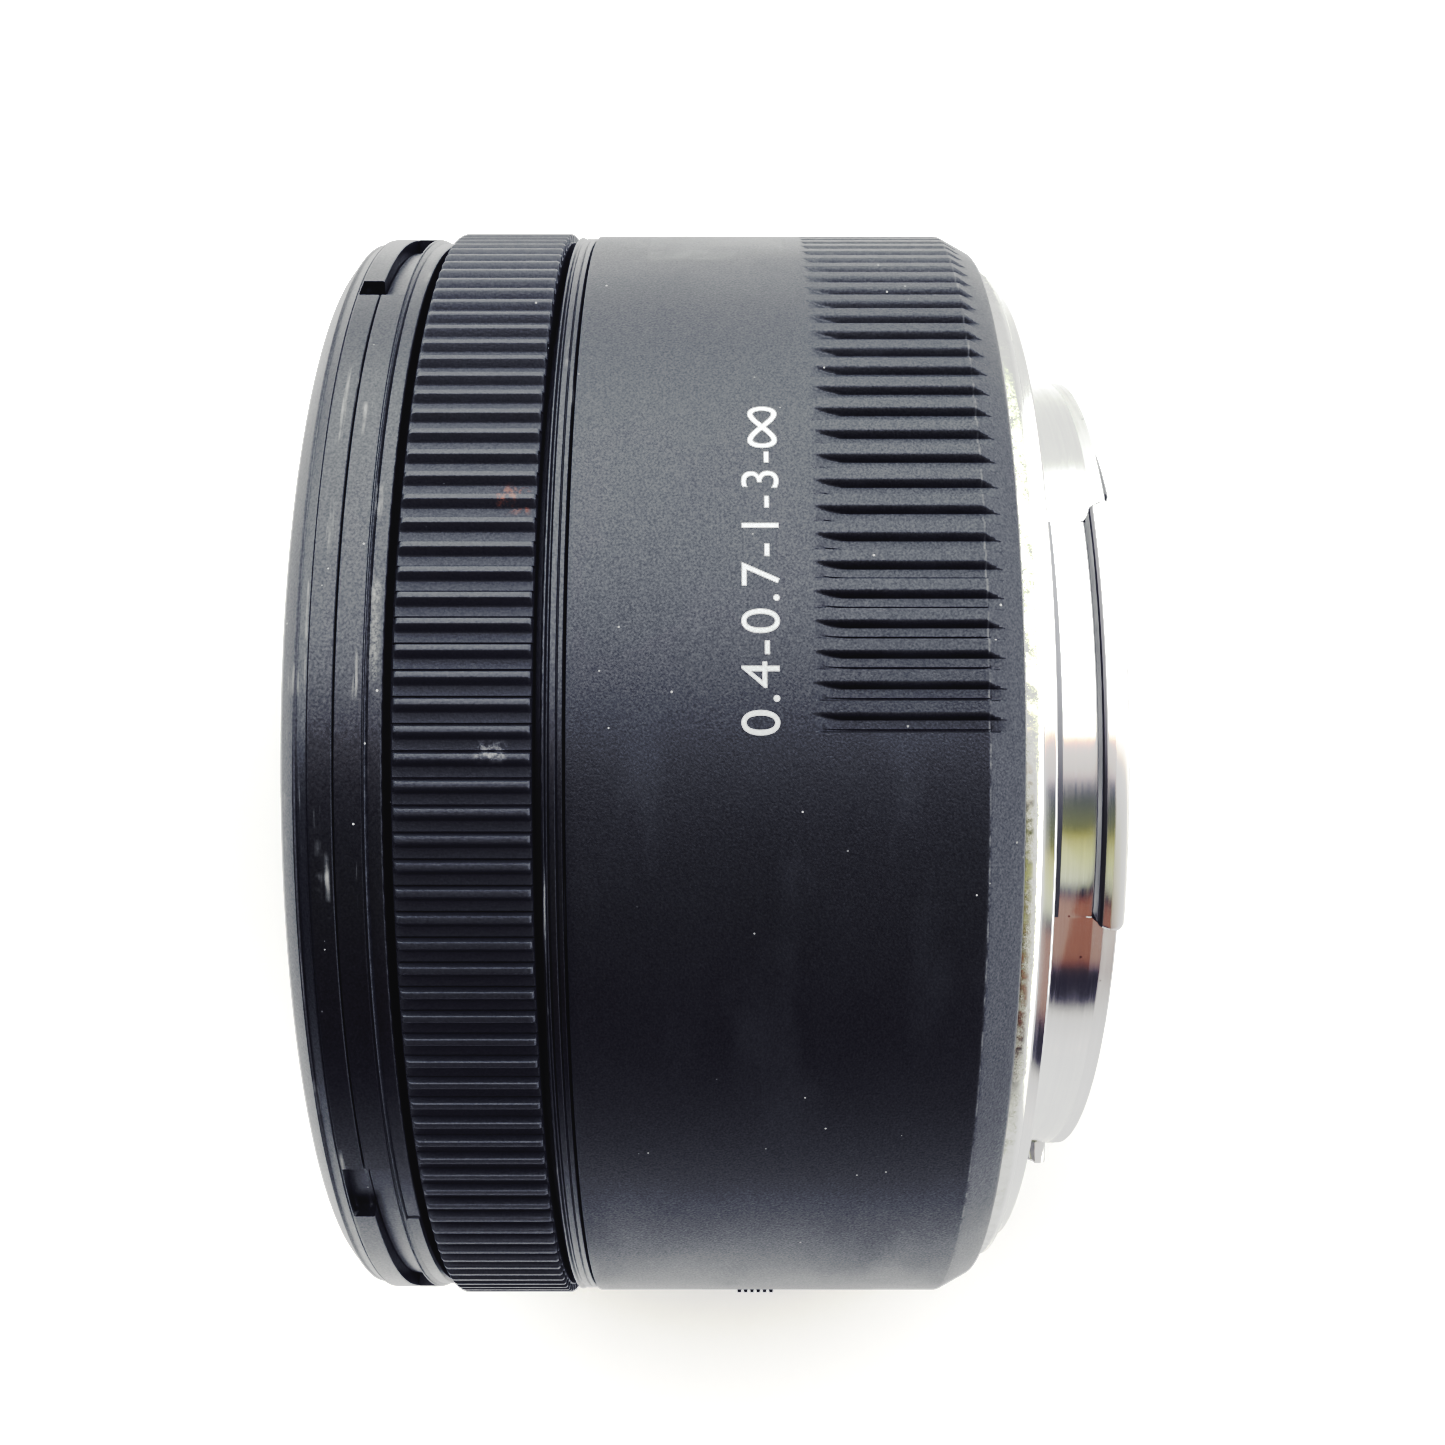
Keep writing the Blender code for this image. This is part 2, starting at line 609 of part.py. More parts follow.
# ---------------------------------------------------------------- diaphragm

def make_diaphragm_frame(black, steel):
    """The base plate with a pivot pin for each blade, the cover plate and the motor."""
    profile = [(25.2, -21.6), (25.2, -20.95), (11.4, -20.95), (11.4, -21.6)]
    base = add_object("diaphragm_base", lathe(profile, INNER_STEPS), black)
    for index in range(BLADES):
        x, z = flat_polar(BLADE_PIVOT_RADIUS, 360.0 * index / BLADES)
        join(base, rod(0.4, (x, -21.2, z), (x, -18.85, z), 8))
    x, z = flat_polar(DRIVE_PINION_RADIUS, DRIVE_PINION_ANGLE)
    cut(base, rod(0.9, (x, -22.0, z), (x, -20.0, z), 10))
    profile = [(24.6, -17.6), (24.6, -17.0), (12.0, -17.0), (12.0, -17.6)]
    add_object("diaphragm_cover", lathe(profile, SMALL_STEPS), black)
    motor = [(0.0, -28.5), (2.6, -28.5), (2.6, -22.1), (0.0, -22.1)]
    add_object("diaphragm_motor", lathe(motor, 12), steel,
               polar(DRIVE_PINION_RADIUS, DRIVE_PINION_ANGLE))


def blade_pin(turn):
    """The polar place of blade 0's drive pin after the blade has turned, as radius and angle."""
    direction = math.radians(turn - 90.0)
    across = BLADE_PIN_ARM * math.sin(direction)
    outward = BLADE_PIVOT_RADIUS + BLADE_PIN_ARM * math.cos(direction)
    return math.hypot(across, outward), math.degrees(math.atan2(across, outward))


def drive_slot(start_angle):
    """The spiral slot that one blade's pin follows as the drive ring turns."""
    steps = 6
    left = []
    right = []
    for index in range(steps + 1):
        share = -0.06 + 1.12 * index / steps
        radius, angle = blade_pin(BLADE_TURN * share)
        angle += start_angle - DIAPHRAGM_TURN * share
        left.append(flat_polar(radius - 0.55, angle))
        right.append(flat_polar(radius + 0.55, angle))
    return prism(left + right[::-1], DRIVE_Y[0] - 0.5, DRIVE_Y[1] + 0.5)


def make_drive_ring(plastic):
    """The ring that turns the blades, with gear teeth where the motor's pinion meets it."""
    step = 360.0 / DRIVE_TEETH
    spare = 8.0
    used = round((DIAPHRAGM_TURN + 2.0 * spare) / step)
    first = DRIVE_PINION_ANGLE + step * 3 - step * used
    outline = part_toothed_outline(DRIVE_TEETH, FINE_MODULE, first, used, SMALL_STEPS + 4)
    ring = add_object("diaphragm_drive_ring", prism(outline, *DRIVE_Y), plastic)
    cut(ring, lathe([(0.0, -19.0), (16.6, -19.0), (16.6, -17.7), (0.0, -17.7)], INNER_STEPS))
    for index in range(BLADES):
        cut(ring, drive_slot(360.0 * index / BLADES))


def make_drive_pinion(brass):
    teeth = gear_outline(DRIVE_PINION_TEETH, FINE_MODULE,
                         DRIVE_PINION_ANGLE + 180.0 + 180.0 / DRIVE_PINION_TEETH)
    pinion = add_object("diaphragm_pinion", prism(teeth, *DRIVE_Y), brass,
                        polar(DRIVE_PINION_RADIUS, DRIVE_PINION_ANGLE))
    join(pinion, rod(0.5, (0.0, -21.9, 0.0), (0.0, DRIVE_Y[0] + 0.2, 0.0), 8))


def blade_outline():
    """One blade seen along the axis, about its pivot: a curved band with an ear and a tail."""
    def about_pivot(radius, angle):
        x, z = flat_polar(radius, angle)
        return x, z - BLADE_PIVOT_RADIUS

    steps = 7
    last = 99.0
    points = []
    for index in range(steps + 1):
        points.append(about_pivot(BLADE_OUTER, 6.0 + (last - 8.0) * index / steps))
    for index in range(steps + 1):
        points.append(about_pivot(BLADE_INNER, last - (last + 3.0) * index / steps))
    points.append(about_pivot(16.6, -4.5))
    points += [(-2.6, -0.75), (-3.2, -0.2), (-3.0, 0.6), (-2.2, 0.75)]
    points += [(-0.4, 0.95), (0.4, 0.95), (1.0, 0.3)]
    return points


def make_blades(steel):
    for index in range(BLADES):
        angle = 360.0 * index / BLADES
        front = BLADE_START_Y + BLADE_PITCH * index
        back = front + BLADE_THICKNESS
        blade = add_object("blade_" + str(index + 1), prism(blade_outline(), front, back), steel,
                           polar(BLADE_PIVOT_RADIUS, angle))
        blade.rotation_euler = (0.0, math.radians(angle), 0.0)
        cut(blade, rod(0.55, (0.0, front - 1.0, 0.0), (0.0, back + 1.0, 0.0), 8))
        pin = -BLADE_PIN_ARM
        join(blade, rod(0.35, (pin, front + BLADE_THICKNESS / 2, 0.0), (pin, -17.9, 0.0), 6))
        for modifier in blade.modifiers:
            modifier.object.rotation_euler = blade.rotation_euler


# ---------------------------------------------------------------- assembly

def clear_scene():
    for item in list(bpy.data.objects):
        bpy.data.objects.remove(item, do_unlink=True)


def main():
    clear_scene()
    satin = make_material("satin_black_plastic", (0.035, 0.036, 0.038), 0.5)
    gloss = make_material("gloss_black_plastic", (0.02, 0.02, 0.022), 0.25)
    rubber = make_material("ribbed_black_rubber", (0.03, 0.03, 0.031), 0.55)
    inner_black = make_material("inner_black_plastic", (0.02, 0.02, 0.02), 0.6)
    grey = make_material("grey_plastic", (0.09, 0.09, 0.095), 0.5)
    white = make_material("white_gear_plastic", (0.7, 0.69, 0.65), 0.45)
    chrome = make_material("mount_metal", (0.75, 0.75, 0.74), 0.2, 1.0)
    steel = make_material("steel", (0.45, 0.45, 0.46), 0.3, 1.0)
    aluminium = make_material("cam_aluminium", (0.5, 0.5, 0.52), 0.35, 1.0)
    brass = make_material("brass", (0.72, 0.52, 0.22), 0.3, 1.0)
    gold = make_material("gold_contacts", (0.9, 0.66, 0.25), 0.2, 1.0)
    amber = make_material("amber_flex", (0.55, 0.27, 0.06), 0.4)
    green = make_material("green_board", (0.03, 0.16, 0.08), 0.4)
    red = make_material("index_red", (0.6, 0.02, 0.02), 0.35)
    foil = make_material("encoder_foil", (0.3, 0.3, 0.31), 0.3, 1.0)
    glass = make_material("lens_glass", (0.55, 0.62, 0.7), 0.03)

    make_front_trim_ring(gloss)
    make_hood_bayonet_ring(gloss)
    make_front_collar(gloss)
    make_main_barrel(satin)
    make_guide_barrel(grey)
    make_mount_ring(chrome)
    make_mount_screws(steel)
    make_rear_baffle(inner_black)
    make_rear_cover(inner_black)
    make_contacts(inner_black, gold, amber)
    make_electronics(green, inner_black, grey)
    make_switch(inner_black, satin)
    make_mode_knob(satin)
    make_index_dot(red)
    make_focus_ring(rubber, foil)
    make_cam_ring(aluminium)
    make_drive_gear_ring(white)
    make_idler_gear(white)
    make_motor(brass, steel, grey)
    make_inner_barrel(inner_black, steel)
    make_front_bezel(inner_black)
    make_glass(glass)
    make_cells(inner_black, steel)
    make_diaphragm_frame(inner_black, steel)
    make_drive_ring(white)
    make_drive_pinion(brass)
    make_blades(steel)


main()
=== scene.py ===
"""The looks of the prime camera lens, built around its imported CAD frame.

As in the CAD, the optical axis is Y, the front looks towards -Y and the origin is the centre of the
mount's seat. Outlines are (radius, y) points in millimetres. Angles are in degrees about the optical
axis, from +Z towards +X.
"""

import math

import bpy
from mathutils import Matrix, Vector


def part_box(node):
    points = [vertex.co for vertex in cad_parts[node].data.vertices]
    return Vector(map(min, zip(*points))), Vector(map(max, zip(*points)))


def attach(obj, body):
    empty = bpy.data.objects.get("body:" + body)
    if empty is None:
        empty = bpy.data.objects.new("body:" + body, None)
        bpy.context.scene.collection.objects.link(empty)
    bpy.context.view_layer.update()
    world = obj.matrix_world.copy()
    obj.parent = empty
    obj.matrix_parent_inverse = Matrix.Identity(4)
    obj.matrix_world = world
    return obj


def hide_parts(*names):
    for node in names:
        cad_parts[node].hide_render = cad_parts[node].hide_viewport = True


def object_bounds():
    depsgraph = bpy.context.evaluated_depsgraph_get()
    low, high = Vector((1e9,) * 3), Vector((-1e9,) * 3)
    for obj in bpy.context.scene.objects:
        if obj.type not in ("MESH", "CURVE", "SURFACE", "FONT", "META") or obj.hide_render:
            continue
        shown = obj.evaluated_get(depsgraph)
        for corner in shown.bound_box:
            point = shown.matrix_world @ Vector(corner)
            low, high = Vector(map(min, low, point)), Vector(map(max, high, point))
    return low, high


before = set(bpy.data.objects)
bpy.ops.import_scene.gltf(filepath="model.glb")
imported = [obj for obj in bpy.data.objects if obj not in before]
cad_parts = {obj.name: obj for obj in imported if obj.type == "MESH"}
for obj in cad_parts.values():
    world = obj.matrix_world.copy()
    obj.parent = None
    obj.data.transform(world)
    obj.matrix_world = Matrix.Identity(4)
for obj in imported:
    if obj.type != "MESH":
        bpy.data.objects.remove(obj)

CAD_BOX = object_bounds()
MM = 0.001


# ---- places, from the frame

class Extent:
    """Where a CAD ring starts and ends along the axis, and its outer radius, in millimetres."""

    def __init__(self, node):
        low, high = node_box(node)
        self.front = low.y
        self.rear = high.y
        self.radius = high.z


def node_box(node):
    """The two corners of a CAD node's box, in millimetres."""
    low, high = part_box(node)
    return low / MM, high / MM


TRIM = Extent("front_trim_ring")
HOOD = Extent("hood_bayonet_ring")
GRIP = Extent("focus_ring")
COLLAR = Extent("front_collar")
BARREL = Extent("main_barrel")
MOUNT = Extent("mount_ring")
INNER = Extent("inner_barrel")
BEZEL = Extent("front_bezel")
BAFFLE = Extent("rear_baffle")
COVER = Extent("rear_cover")
SCREW_RADIUS = 29.0
SCREW_ANGLES = (28.0, 118.0, 208.0, 298.0)
LOCK_ANGLE = 72.0
LUG_RADIUS = 27.0
LUG_FRONT = 3.2
LUG_CENTRE = -6.5
LUG_SPAN = 52.3
TUBE_RADIUS = 25.2
TUBE_BORE = 23.6
CONTACT_SPAN = (-97.0, -43.0)


# ---- mesh helpers

def polar(radius, angle, y):
    """A point at a radius and an angle about the optical axis, in metres."""
    turn = math.radians(angle)
    return (radius * math.sin(turn) * MM, y * MM, radius * math.cos(turn) * MM)


def placed(name, data):
    """A new object in the scene."""
    item = bpy.data.objects.new(name, data)
    bpy.context.collection.objects.link(item)
    return item


def new_mesh(name, points, faces):
    mesh = bpy.data.meshes.new(name)
    mesh.from_pydata(points, [], faces)
    return mesh


def shade(mesh):
    mesh.shade_smooth()
    mesh.set_sharp_from_angle(angle=math.radians(32.0))


def new_piece(name, shape, look, *nodes, body="lens_body", slot=None):
    """Make a piece from points and faces. It rides on a body and stands for the CAD nodes.

    The slot argument is not used.
    """
    mesh = new_mesh(name, *shape)
    mesh.validate()
    shade(mesh)
    mesh.materials.append(LOOK[look])
    piece = placed(name, mesh)
    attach(piece, body)
    if nodes:
        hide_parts(*nodes)
    return piece


def rounded(points, radius, steps=4):
    """Round the corners of a closed outline; a point may carry a radius of its own, or zero."""
    result = []
    count = len(points)
    for index, point in enumerate(points):
        corner = Vector(point[:2])
        wanted = point[2] if len(point) == 3 else radius
        if wanted == 0.0:
            result.append(tuple(corner))
            continue
        before = Vector(points[index - 1][:2]) - corner
        after = Vector(points[(index + 1) % count][:2]) - corner
        reach = min(wanted, 0.42 * before.length, 0.42 * after.length)
        start = corner + before.normalized() * reach
        end = corner + after.normalized() * reach
        for step in range(steps + 1):
            share = step / steps
            place = start * (1 - share) ** 2 + corner * 2 * share * (1 - share) + end * share ** 2
            result.append(tuple(place))
    return result


def ring_faces(rings, size, closed=False):
    """Faces that join rings of points: back to the first ring, or with a flat cap at each end."""
    faces = []
    for ring in range(rings if closed else rings - 1):
        one = ring * size
        two = (ring + 1) % rings * size
        for step in range(size):
            after = (step + 1) % size
            faces.append((one + step, one + after, two + after, two + step))
    if not closed:
        faces += [tuple(range(size))[::-1], tuple(range((rings - 1) * size, rings * size))]
    return faces


def sweep(outlines, angles, closed=True):
    """Points and faces of closed outlines, one for each angle, joined around the axis."""
    points = [polar(radius, angle, y)
              for outline, angle in zip(outlines, angles) for radius, y in outline]
    return points, ring_faces(len(angles), len(outlines[0]), closed)


def even_angles(count):
    return [360.0 * index / count for index in range(count)]


def turned(name, outline, look, *nodes, count=300, **place):
    """A round piece: a closed outline turned about the optical axis.

    The outline runs with the material on its left, seen with the radius up and the front left.
    """
    return new_piece(name, sweep([outline] * count, even_angles(count)), look, *nodes, **place)


def solid_turned(name, outline, look, *nodes, count=200, **place):
    """A round piece that reaches the axis: the outline's first and last points lie on it."""
    angles = even_angles(count)
    inner = outline[1:-1]
    size = len(inner)
    points = [polar(radius, angle, y) for angle in angles for radius, y in inner]
    first = len(points)
    points += [polar(0.0, 0.0, outline[0][1]), polar(0.0, 0.0, outline[-1][1])]
    faces = []
    for index in range(count):
        one = index * size
        two = (index + 1) % count * size
        faces.append((first, one, two))
        faces.append((one + size - 1, first + 1, two + size - 1))
        for step in range(size - 1):
            faces.append((one + step, one + step + 1, two + step + 1, two + step))
    return new_piece(name, (points, faces), look, *nodes, **place)


def arc_piece(outline, start, end, step=1.0):
    """Points and faces of a piece of a ring between two angles."""
    count = max(2, math.ceil((end - start) / step) + 1)
    angles = [start + (end - start) * index / (count - 1) for index in range(count)]
    return sweep([outline] * count, angles, closed=False)


def box_points(low, high):
    """Points and faces of a box between two corners in millimetres."""
    points = [(x * MM, y * MM, z * MM)
              for x in (low[0], high[0]) for y in (low[1], high[1]) for z in (low[2], high[2])]
    faces = [(0, 1, 3, 2), (4, 6, 7, 5), (0, 4, 5, 1), (2, 3, 7, 6), (0, 2, 6, 4), (1, 5, 7, 3)]
    return points, faces


def rod_points(centre, radius, front, rear, steps=40):
    """Points and faces of a round bar along Y about a centre (x, z) in millimetres."""
    points = []
    for y in (front, rear):
        for angle in even_angles(steps):
            x, _, z = polar(radius, angle, y)
            points.append((centre[0] * MM + x, y * MM, centre[1] * MM + z))
    return points, ring_faces(2, steps)


def evaluated_mesh(item):
    """A copy of an object's mesh with its modifiers applied."""
    bpy.context.view_layer.update()
    graph = bpy.context.evaluated_depsgraph_get()
    return bpy.data.meshes.new_from_object(item.evaluated_get(graph))


def settle(piece):
    """Keep only the result of a piece's modifiers."""
    result = evaluated_mesh(piece)
    piece.modifiers.clear()
    piece.data = result


def carve(piece, shapes):
    """Cut shapes out of a piece."""
    for shape in shapes:
        cutter = placed("cutter", new_mesh("cutter", *shape))
        change = piece.modifiers.new("carve", "BOOLEAN")
        change.operation = "DIFFERENCE"
        change.solver = "EXACT"
        change.object = cutter
        settle(piece)
        bpy.data.objects.remove(cutter)
    shade(piece.data)


def add_bevel(item, width, segments):
    change = item.modifiers.new("bevel", "BEVEL")
    change.width = width * MM
    change.segments = segments
    change.limit_method = "ANGLE"
    change.angle_limit = math.radians(40.0)


def soften(piece, width, segments=3):
    """Bevel a piece's hard edges, and keep only the result."""
    add_bevel(piece, width, segments)
    settle(piece)
    shade(piece.data)


# ---- material helpers

def add_node(tree, kind, inputs, **settings):
    """Add a node to a tree. Each input is a value, or a socket to link."""
    node = tree.nodes.new(kind)
    for key, value in settings.items():
        setattr(node, key, value)
    for key, value in inputs.items():
        if isinstance(value, bpy.types.NodeSocket):
            tree.links.new(value, node.inputs[key])
        else:
            node.inputs[key].default_value = value
    return node


class Surface:
    """A Principled material, with helpers that add procedural detail to it."""

    def __init__(self, name, colour, roughness, metallic=0.0):
        self.material = bpy.data.materials.new(name)
        self.material.use_nodes = True
        self.tree = self.material.node_tree
        self.shader = self.tree.nodes["Principled BSDF"]
        self.shader.inputs["Base Color"].default_value = (*colour, 1.0)
        self.shader.inputs["Roughness"].default_value = roughness
        self.shader.inputs["Metallic"].default_value = metallic
        self.colour = self.rgb(colour)
        self.rough = self.number(roughness)
        self.height = None
        self.gloss = None

    def add(self, kind, inputs, **settings):
        return add_node(self.tree, kind, inputs, **settings)

    def rgb(self, colour):
        node = self.tree.nodes.new("ShaderNodeRGB")
        node.outputs[0].default_value = (*colour, 1.0)
        return node.outputs[0]

    def number(self, value):
        node = self.tree.nodes.new("ShaderNodeValue")
        node.outputs[0].default_value = value
        return node.outputs[0]

    def math(self, operation, *values, clamp=False):
        return self.add("ShaderNodeMath", dict(enumerate(values)), operation=operation,
                        use_clamp=clamp).outputs[0]

    def product(self, *values):
        result = values[0]
        for value in values[1:]:
            result = self.math("MULTIPLY", result, value)
        return result

    def split(self, place):
        return self.add("ShaderNodeSeparateXYZ", {0: place}).outputs

    def stretch(self, value, low, high):
        """A value rescaled so that low becomes 0 and high becomes 1, and kept between them."""
        return self.add("ShaderNodeMapRange", {"Value": value, "From Min": low,
                                               "From Max": high}).outputs[0]

    def object_place(self, scale=(1.0, 1.0, 1.0)):
        """The point on the piece, in millimetres times a scale."""
        coordinates = self.tree.nodes.new("ShaderNodeTexCoord").outputs["Object"]
        size = [share / MM for share in scale]
        return self.add("ShaderNodeMapping", {"Vector": coordinates, "Scale": size}).outputs[0]

    def turned_place(self, around=0.02):
        """The point as (radius, y, a share of the arc), so that a texture runs around the axis."""
        x, y, z = self.split(self.object_place())
        radius = self.math("SQRT", self.math("ADD", self.product(x, x), self.product(z, z)))
        arc = self.product(self.math("ARCTAN2", x, z), radius, around)
        return self.add("ShaderNodeCombineXYZ", {0: radius, 1: y, 2: arc}).outputs[0]

    def noise(self, place, scale, detail=3.0, low=0.35, high=0.65, rough=0.55):
        """Noise stretched so that low becomes 0 and high becomes 1."""
        value = self.add("ShaderNodeTexNoise", {"Vector": place, "Scale": scale, "Detail": detail,
                                                "Roughness": rough}).outputs["Fac"]
        return self.stretch(value, low, high)

    def specks(self, place, scale, size):
        """Small round spots: 1 inside, 0 outside."""
        value = self.add("ShaderNodeTexVoronoi", {"Vector": place, "Scale": scale,
                                                  "Randomness": 1.0}).outputs["Distance"]
        return self.stretch(value, size, size * 0.6)

    def tint(self, amount, colour, strength=1.0):
        """Mix a colour in by an amount socket, times a strength."""
        if strength != 1.0:
            amount = self.product(amount, strength)
        self.colour = self.add("ShaderNodeMix", {0: amount, 6: self.colour, 7: (*colour, 1.0)},
                               data_type="RGBA").outputs[2]

    def roughen(self, amount, change):
        """Add an amount socket times a change to the roughness."""
        self.rough = self.math("MULTIPLY_ADD", amount, change, self.rough, clamp=True)

    def shine(self, amount, change):
        """Add an amount socket times a change to the strength of the reflections."""
        if self.gloss is None:
            self.gloss = self.number(self.shader.inputs["Specular IOR Level"].default_value)
        self.gloss = self.math("MULTIPLY_ADD", amount, change, self.gloss, clamp=True)

    def between(self, value, low, high, fade):
        """1 where a value lies between two limits, with soft ends."""
        return self.product(self.stretch(value, low - fade, low + fade),
                            self.stretch(value, high + fade, high - fade))

    def patch(self, angles, heights, scale, low, high):
        """A worn patch between two angles and two places along the axis, broken up by noise."""
        place = self.object_place()
        x, y, z = self.split(place)
        angle = self.math("DEGREES", self.math("ARCTAN2", x, z))
        return self.product(self.between(angle, *angles, 0.4), self.between(y, *heights, 0.15),
                            self.noise(place, scale, 4.0, low, high, 0.7))

    def raise_by(self, amount, millimetres):
        step = self.product(amount, millimetres * MM)
        self.height = step if self.height is None else self.math("ADD", self.height, step)

    def done(self, bump=1.0):
        self.tree.links.new(self.colour, self.shader.inputs["Base Color"])
        self.tree.links.new(self.rough, self.shader.inputs["Roughness"])
        if self.gloss is not None:
            self.tree.links.new(self.gloss, self.shader.inputs["Specular IOR Level"])
        if self.height is not None:
            node = self.add("ShaderNodeBump", {"Strength": bump, "Distance": 1.0,
                                               "Height": self.height})
            self.tree.links.new(node.outputs[0], self.shader.inputs["Normal"])
        return self.material


def add_dust(surface, place, amount):
    """Rare light specks of dust, gathered in patches."""
    patches = surface.noise(place, 0.18, 2.0, 0.52, 0.66)
    fine = surface.product(surface.specks(place, 0.9, 0.055), patches)
    larger = surface.specks(place, 0.19, 0.016)
    dust = surface.math("MULTIPLY", surface.math("MAXIMUM", fine, larger), amount, clamp=True)
    surface.tint(dust, (0.62, 0.62, 0.6))
    surface.roughen(dust, 0.4)


def moulded_plastic(name, colour, roughness, grain, depth, dust=0.8, gloss=0.5):
    """Moulded plastic: a fine even grain, faint cloudy patches and a little dust."""
    surface = Surface(name, colour, roughness)
    surface.shader.inputs["Specular IOR Level"].default_value = gloss
    place = surface.object_place()
    fine = surface.noise(place, grain, 2.0, 0.3, 0.7)
    cloud = surface.noise(place, 0.12, 4.0)
    lighter = tuple(min(1.0, channel * 1.8 + 0.001) for channel in colour)
    surface.tint(fine, lighter, 0.6)
    surface.tint(cloud, lighter, 0.25)
    surface.roughen(fine, 0.10)
    surface.roughen(cloud, 0.05)
    surface.shine(surface.noise(place, 1.1 * grain, 1.0, 0.3, 0.7), 0.6 * gloss)
    surface.raise_by(fine, depth)
    add_dust(surface, place, dust)
    return surface


def turned_metal(name, colour, roughness, lines=9.0, depth=0.0016):
    """Metal with fine marks that run around the axis."""
    surface = Surface(name, colour, roughness, 1.0)
    around = surface.turned_place()
    marks = surface.noise(around, lines, 4.0, 0.3, 0.7, 0.7)
    cloud = surface.noise(surface.object_place(), 0.25, 4.0)
    darker = tuple(channel * 0.78 for channel in colour)
    surface.tint(marks, darker, 0.35)
    surface.tint(cloud, darker, 0.2)
    surface.roughen(marks, 0.10)
    surface.roughen(cloud, 0.06)
    surface.raise_by(marks, depth)
    return surface


# ---- materials

def barrel_satin():
    """Matt paint, hazy where hands hold it, rubbed on one side and lighter in a broken line along its
    rear corner.
    """
    barrel = moulded_plastic("satin_barrel", (0.0023, 0.0024, 0.0027), 0.38, 8.0, 0.006, 0.6, 0.212)
    haze = barrel.noise(barrel.object_place((0.4, 1.0, 0.4)), 0.16, 5.0, 0.52, 0.72)
    barrel.tint(haze, (0.35, 0.36, 0.37), 0.012)
    barrel.roughen(haze, 0.10)
    rubbed = barrel.patch((-76.0, -58.0), (-21.5, -13.5), 0.35, 0.40, 0.66)
    barrel.tint(rubbed, (0.42, 0.43, 0.41), 0.10)
    barrel.roughen(rubbed, 0.15)
    place = barrel.object_place()
    # A lighter, broken line along the rear corner.
    corner = barrel.product(barrel.between(barrel.split(place)[1], -3.95, -3.86, 0.03),
                            barrel.noise(place, 1.2, 4.0, 0.42, 0.60))
    barrel.tint(corner, (0.5, 0.5, 0.49), 0.06)
    return barrel.done()


def rib_plastic():
    """Rubbed ribs with glossier lands, a rusty spot and a scrape."""
    ribs = moulded_plastic("rib_plastic", (0.0085, 0.0086, 0.0092), 0.42, 8.0, 0.006, 0.8, 0.15)
    reach = ribs.split(ribs.turned_place())[0]
    lands = ribs.stretch(reach, GRIP.radius - 0.25, GRIP.radius - 0.08)
    ribs.shine(lands, 0.05)
    ribs.roughen(lands, -0.05)
    ribs.tint(ribs.patch((-24.3, -21.8), (-28.5, -26.9), 1.6, 0.50, 0.62), (0.12, 0.045, 0.025), 0.4)
    ribs.tint(ribs.patch((-1.6, -0.2), (-29.2, -27.8), 3.0, 0.42, 0.60), (0.34, 0.34, 0.34), 0.2)
    return ribs.done()


def ring_gloss():
    """Semi-gloss front rings with scuffs along them and a worn edge."""
    gloss = moulded_plastic("semi_gloss_rings", (0.0018, 0.0019, 0.0021), 0.27, 7.0, 0.002,
                            0.7, 0.225)
    scuffs = gloss.product(gloss.noise(gloss.turned_place(0.05), 1.4, 5.0, 0.60, 0.72),
                           gloss.noise(gloss.object_place(), 0.3, 3.0, 0.5, 0.62))
    gloss.tint(scuffs, (0.30, 0.30, 0.29), 0.35)
    gloss.roughen(scuffs, 0.25)
    worn = gloss.patch((-15.5, -7.0), (-34.60, -34.20), 5.0, 0.40, 0.64)
    gloss.tint(worn, (0.42, 0.42, 0.40), 0.16)
    gloss.roughen(worn, 0.3)
    return gloss.done()


def bayonet_metal():
    """Polished metal: a stained band in front of the flange, and painted shade on the fronts of the lugs.
    """
    mount = turned_metal("mount_metal", (0.50, 0.50, 0.495), 0.055, 7.0, 0.0008)
    place = mount.object_place()
    x, height, z = mount.split(place)
    band = mount.stretch(height, -1.05, -1.25)
    mottled = mount.noise(place, 1.3, 4.0, 0.38, 0.62)
    mount.tint(band, (0.27, 0.28, 0.22), 0.55)
    pits = mount.product(mount.noise(place, 8.0, 6.0, 0.42, 0.60, 0.8), band, mottled)
    mount.tint(pits, (0.10, 0.105, 0.065), 0.8)
    mount.roughen(band, 0.05)
    mount.roughen(pits, 0.18)
    mount.raise_by(pits, -0.006)
    third = mount.math("SUBTRACT", mount.product(mount.math("ARCTAN2", x, z), 3.0),
                       math.radians(3.0 * LUG_CENTRE))
    lugs = mount.math("GREATER_THAN", mount.math("COSINE", third),
                      math.cos(math.radians(1.5 * LUG_SPAN)))
    # Painted shade: the fronts of the lugs are darkened to stand for the shade they sit in.
    lug_front_painted_shade = mount.product(mount.between(height, 3.17, 3.45, 0.03), lugs)
    mount.tint(lug_front_painted_shade, (0.03, 0.028, 0.03), 0.95)
    mount.roughen(lug_front_painted_shade, 0.25)
    mount.roughen(mount.stretch(height, 3.80, 3.90), 0.24)
    mount.tint(mount.specks(place, 0.55, 0.05), (0.12, 0.11, 0.10), 0.6)
    return mount.done()


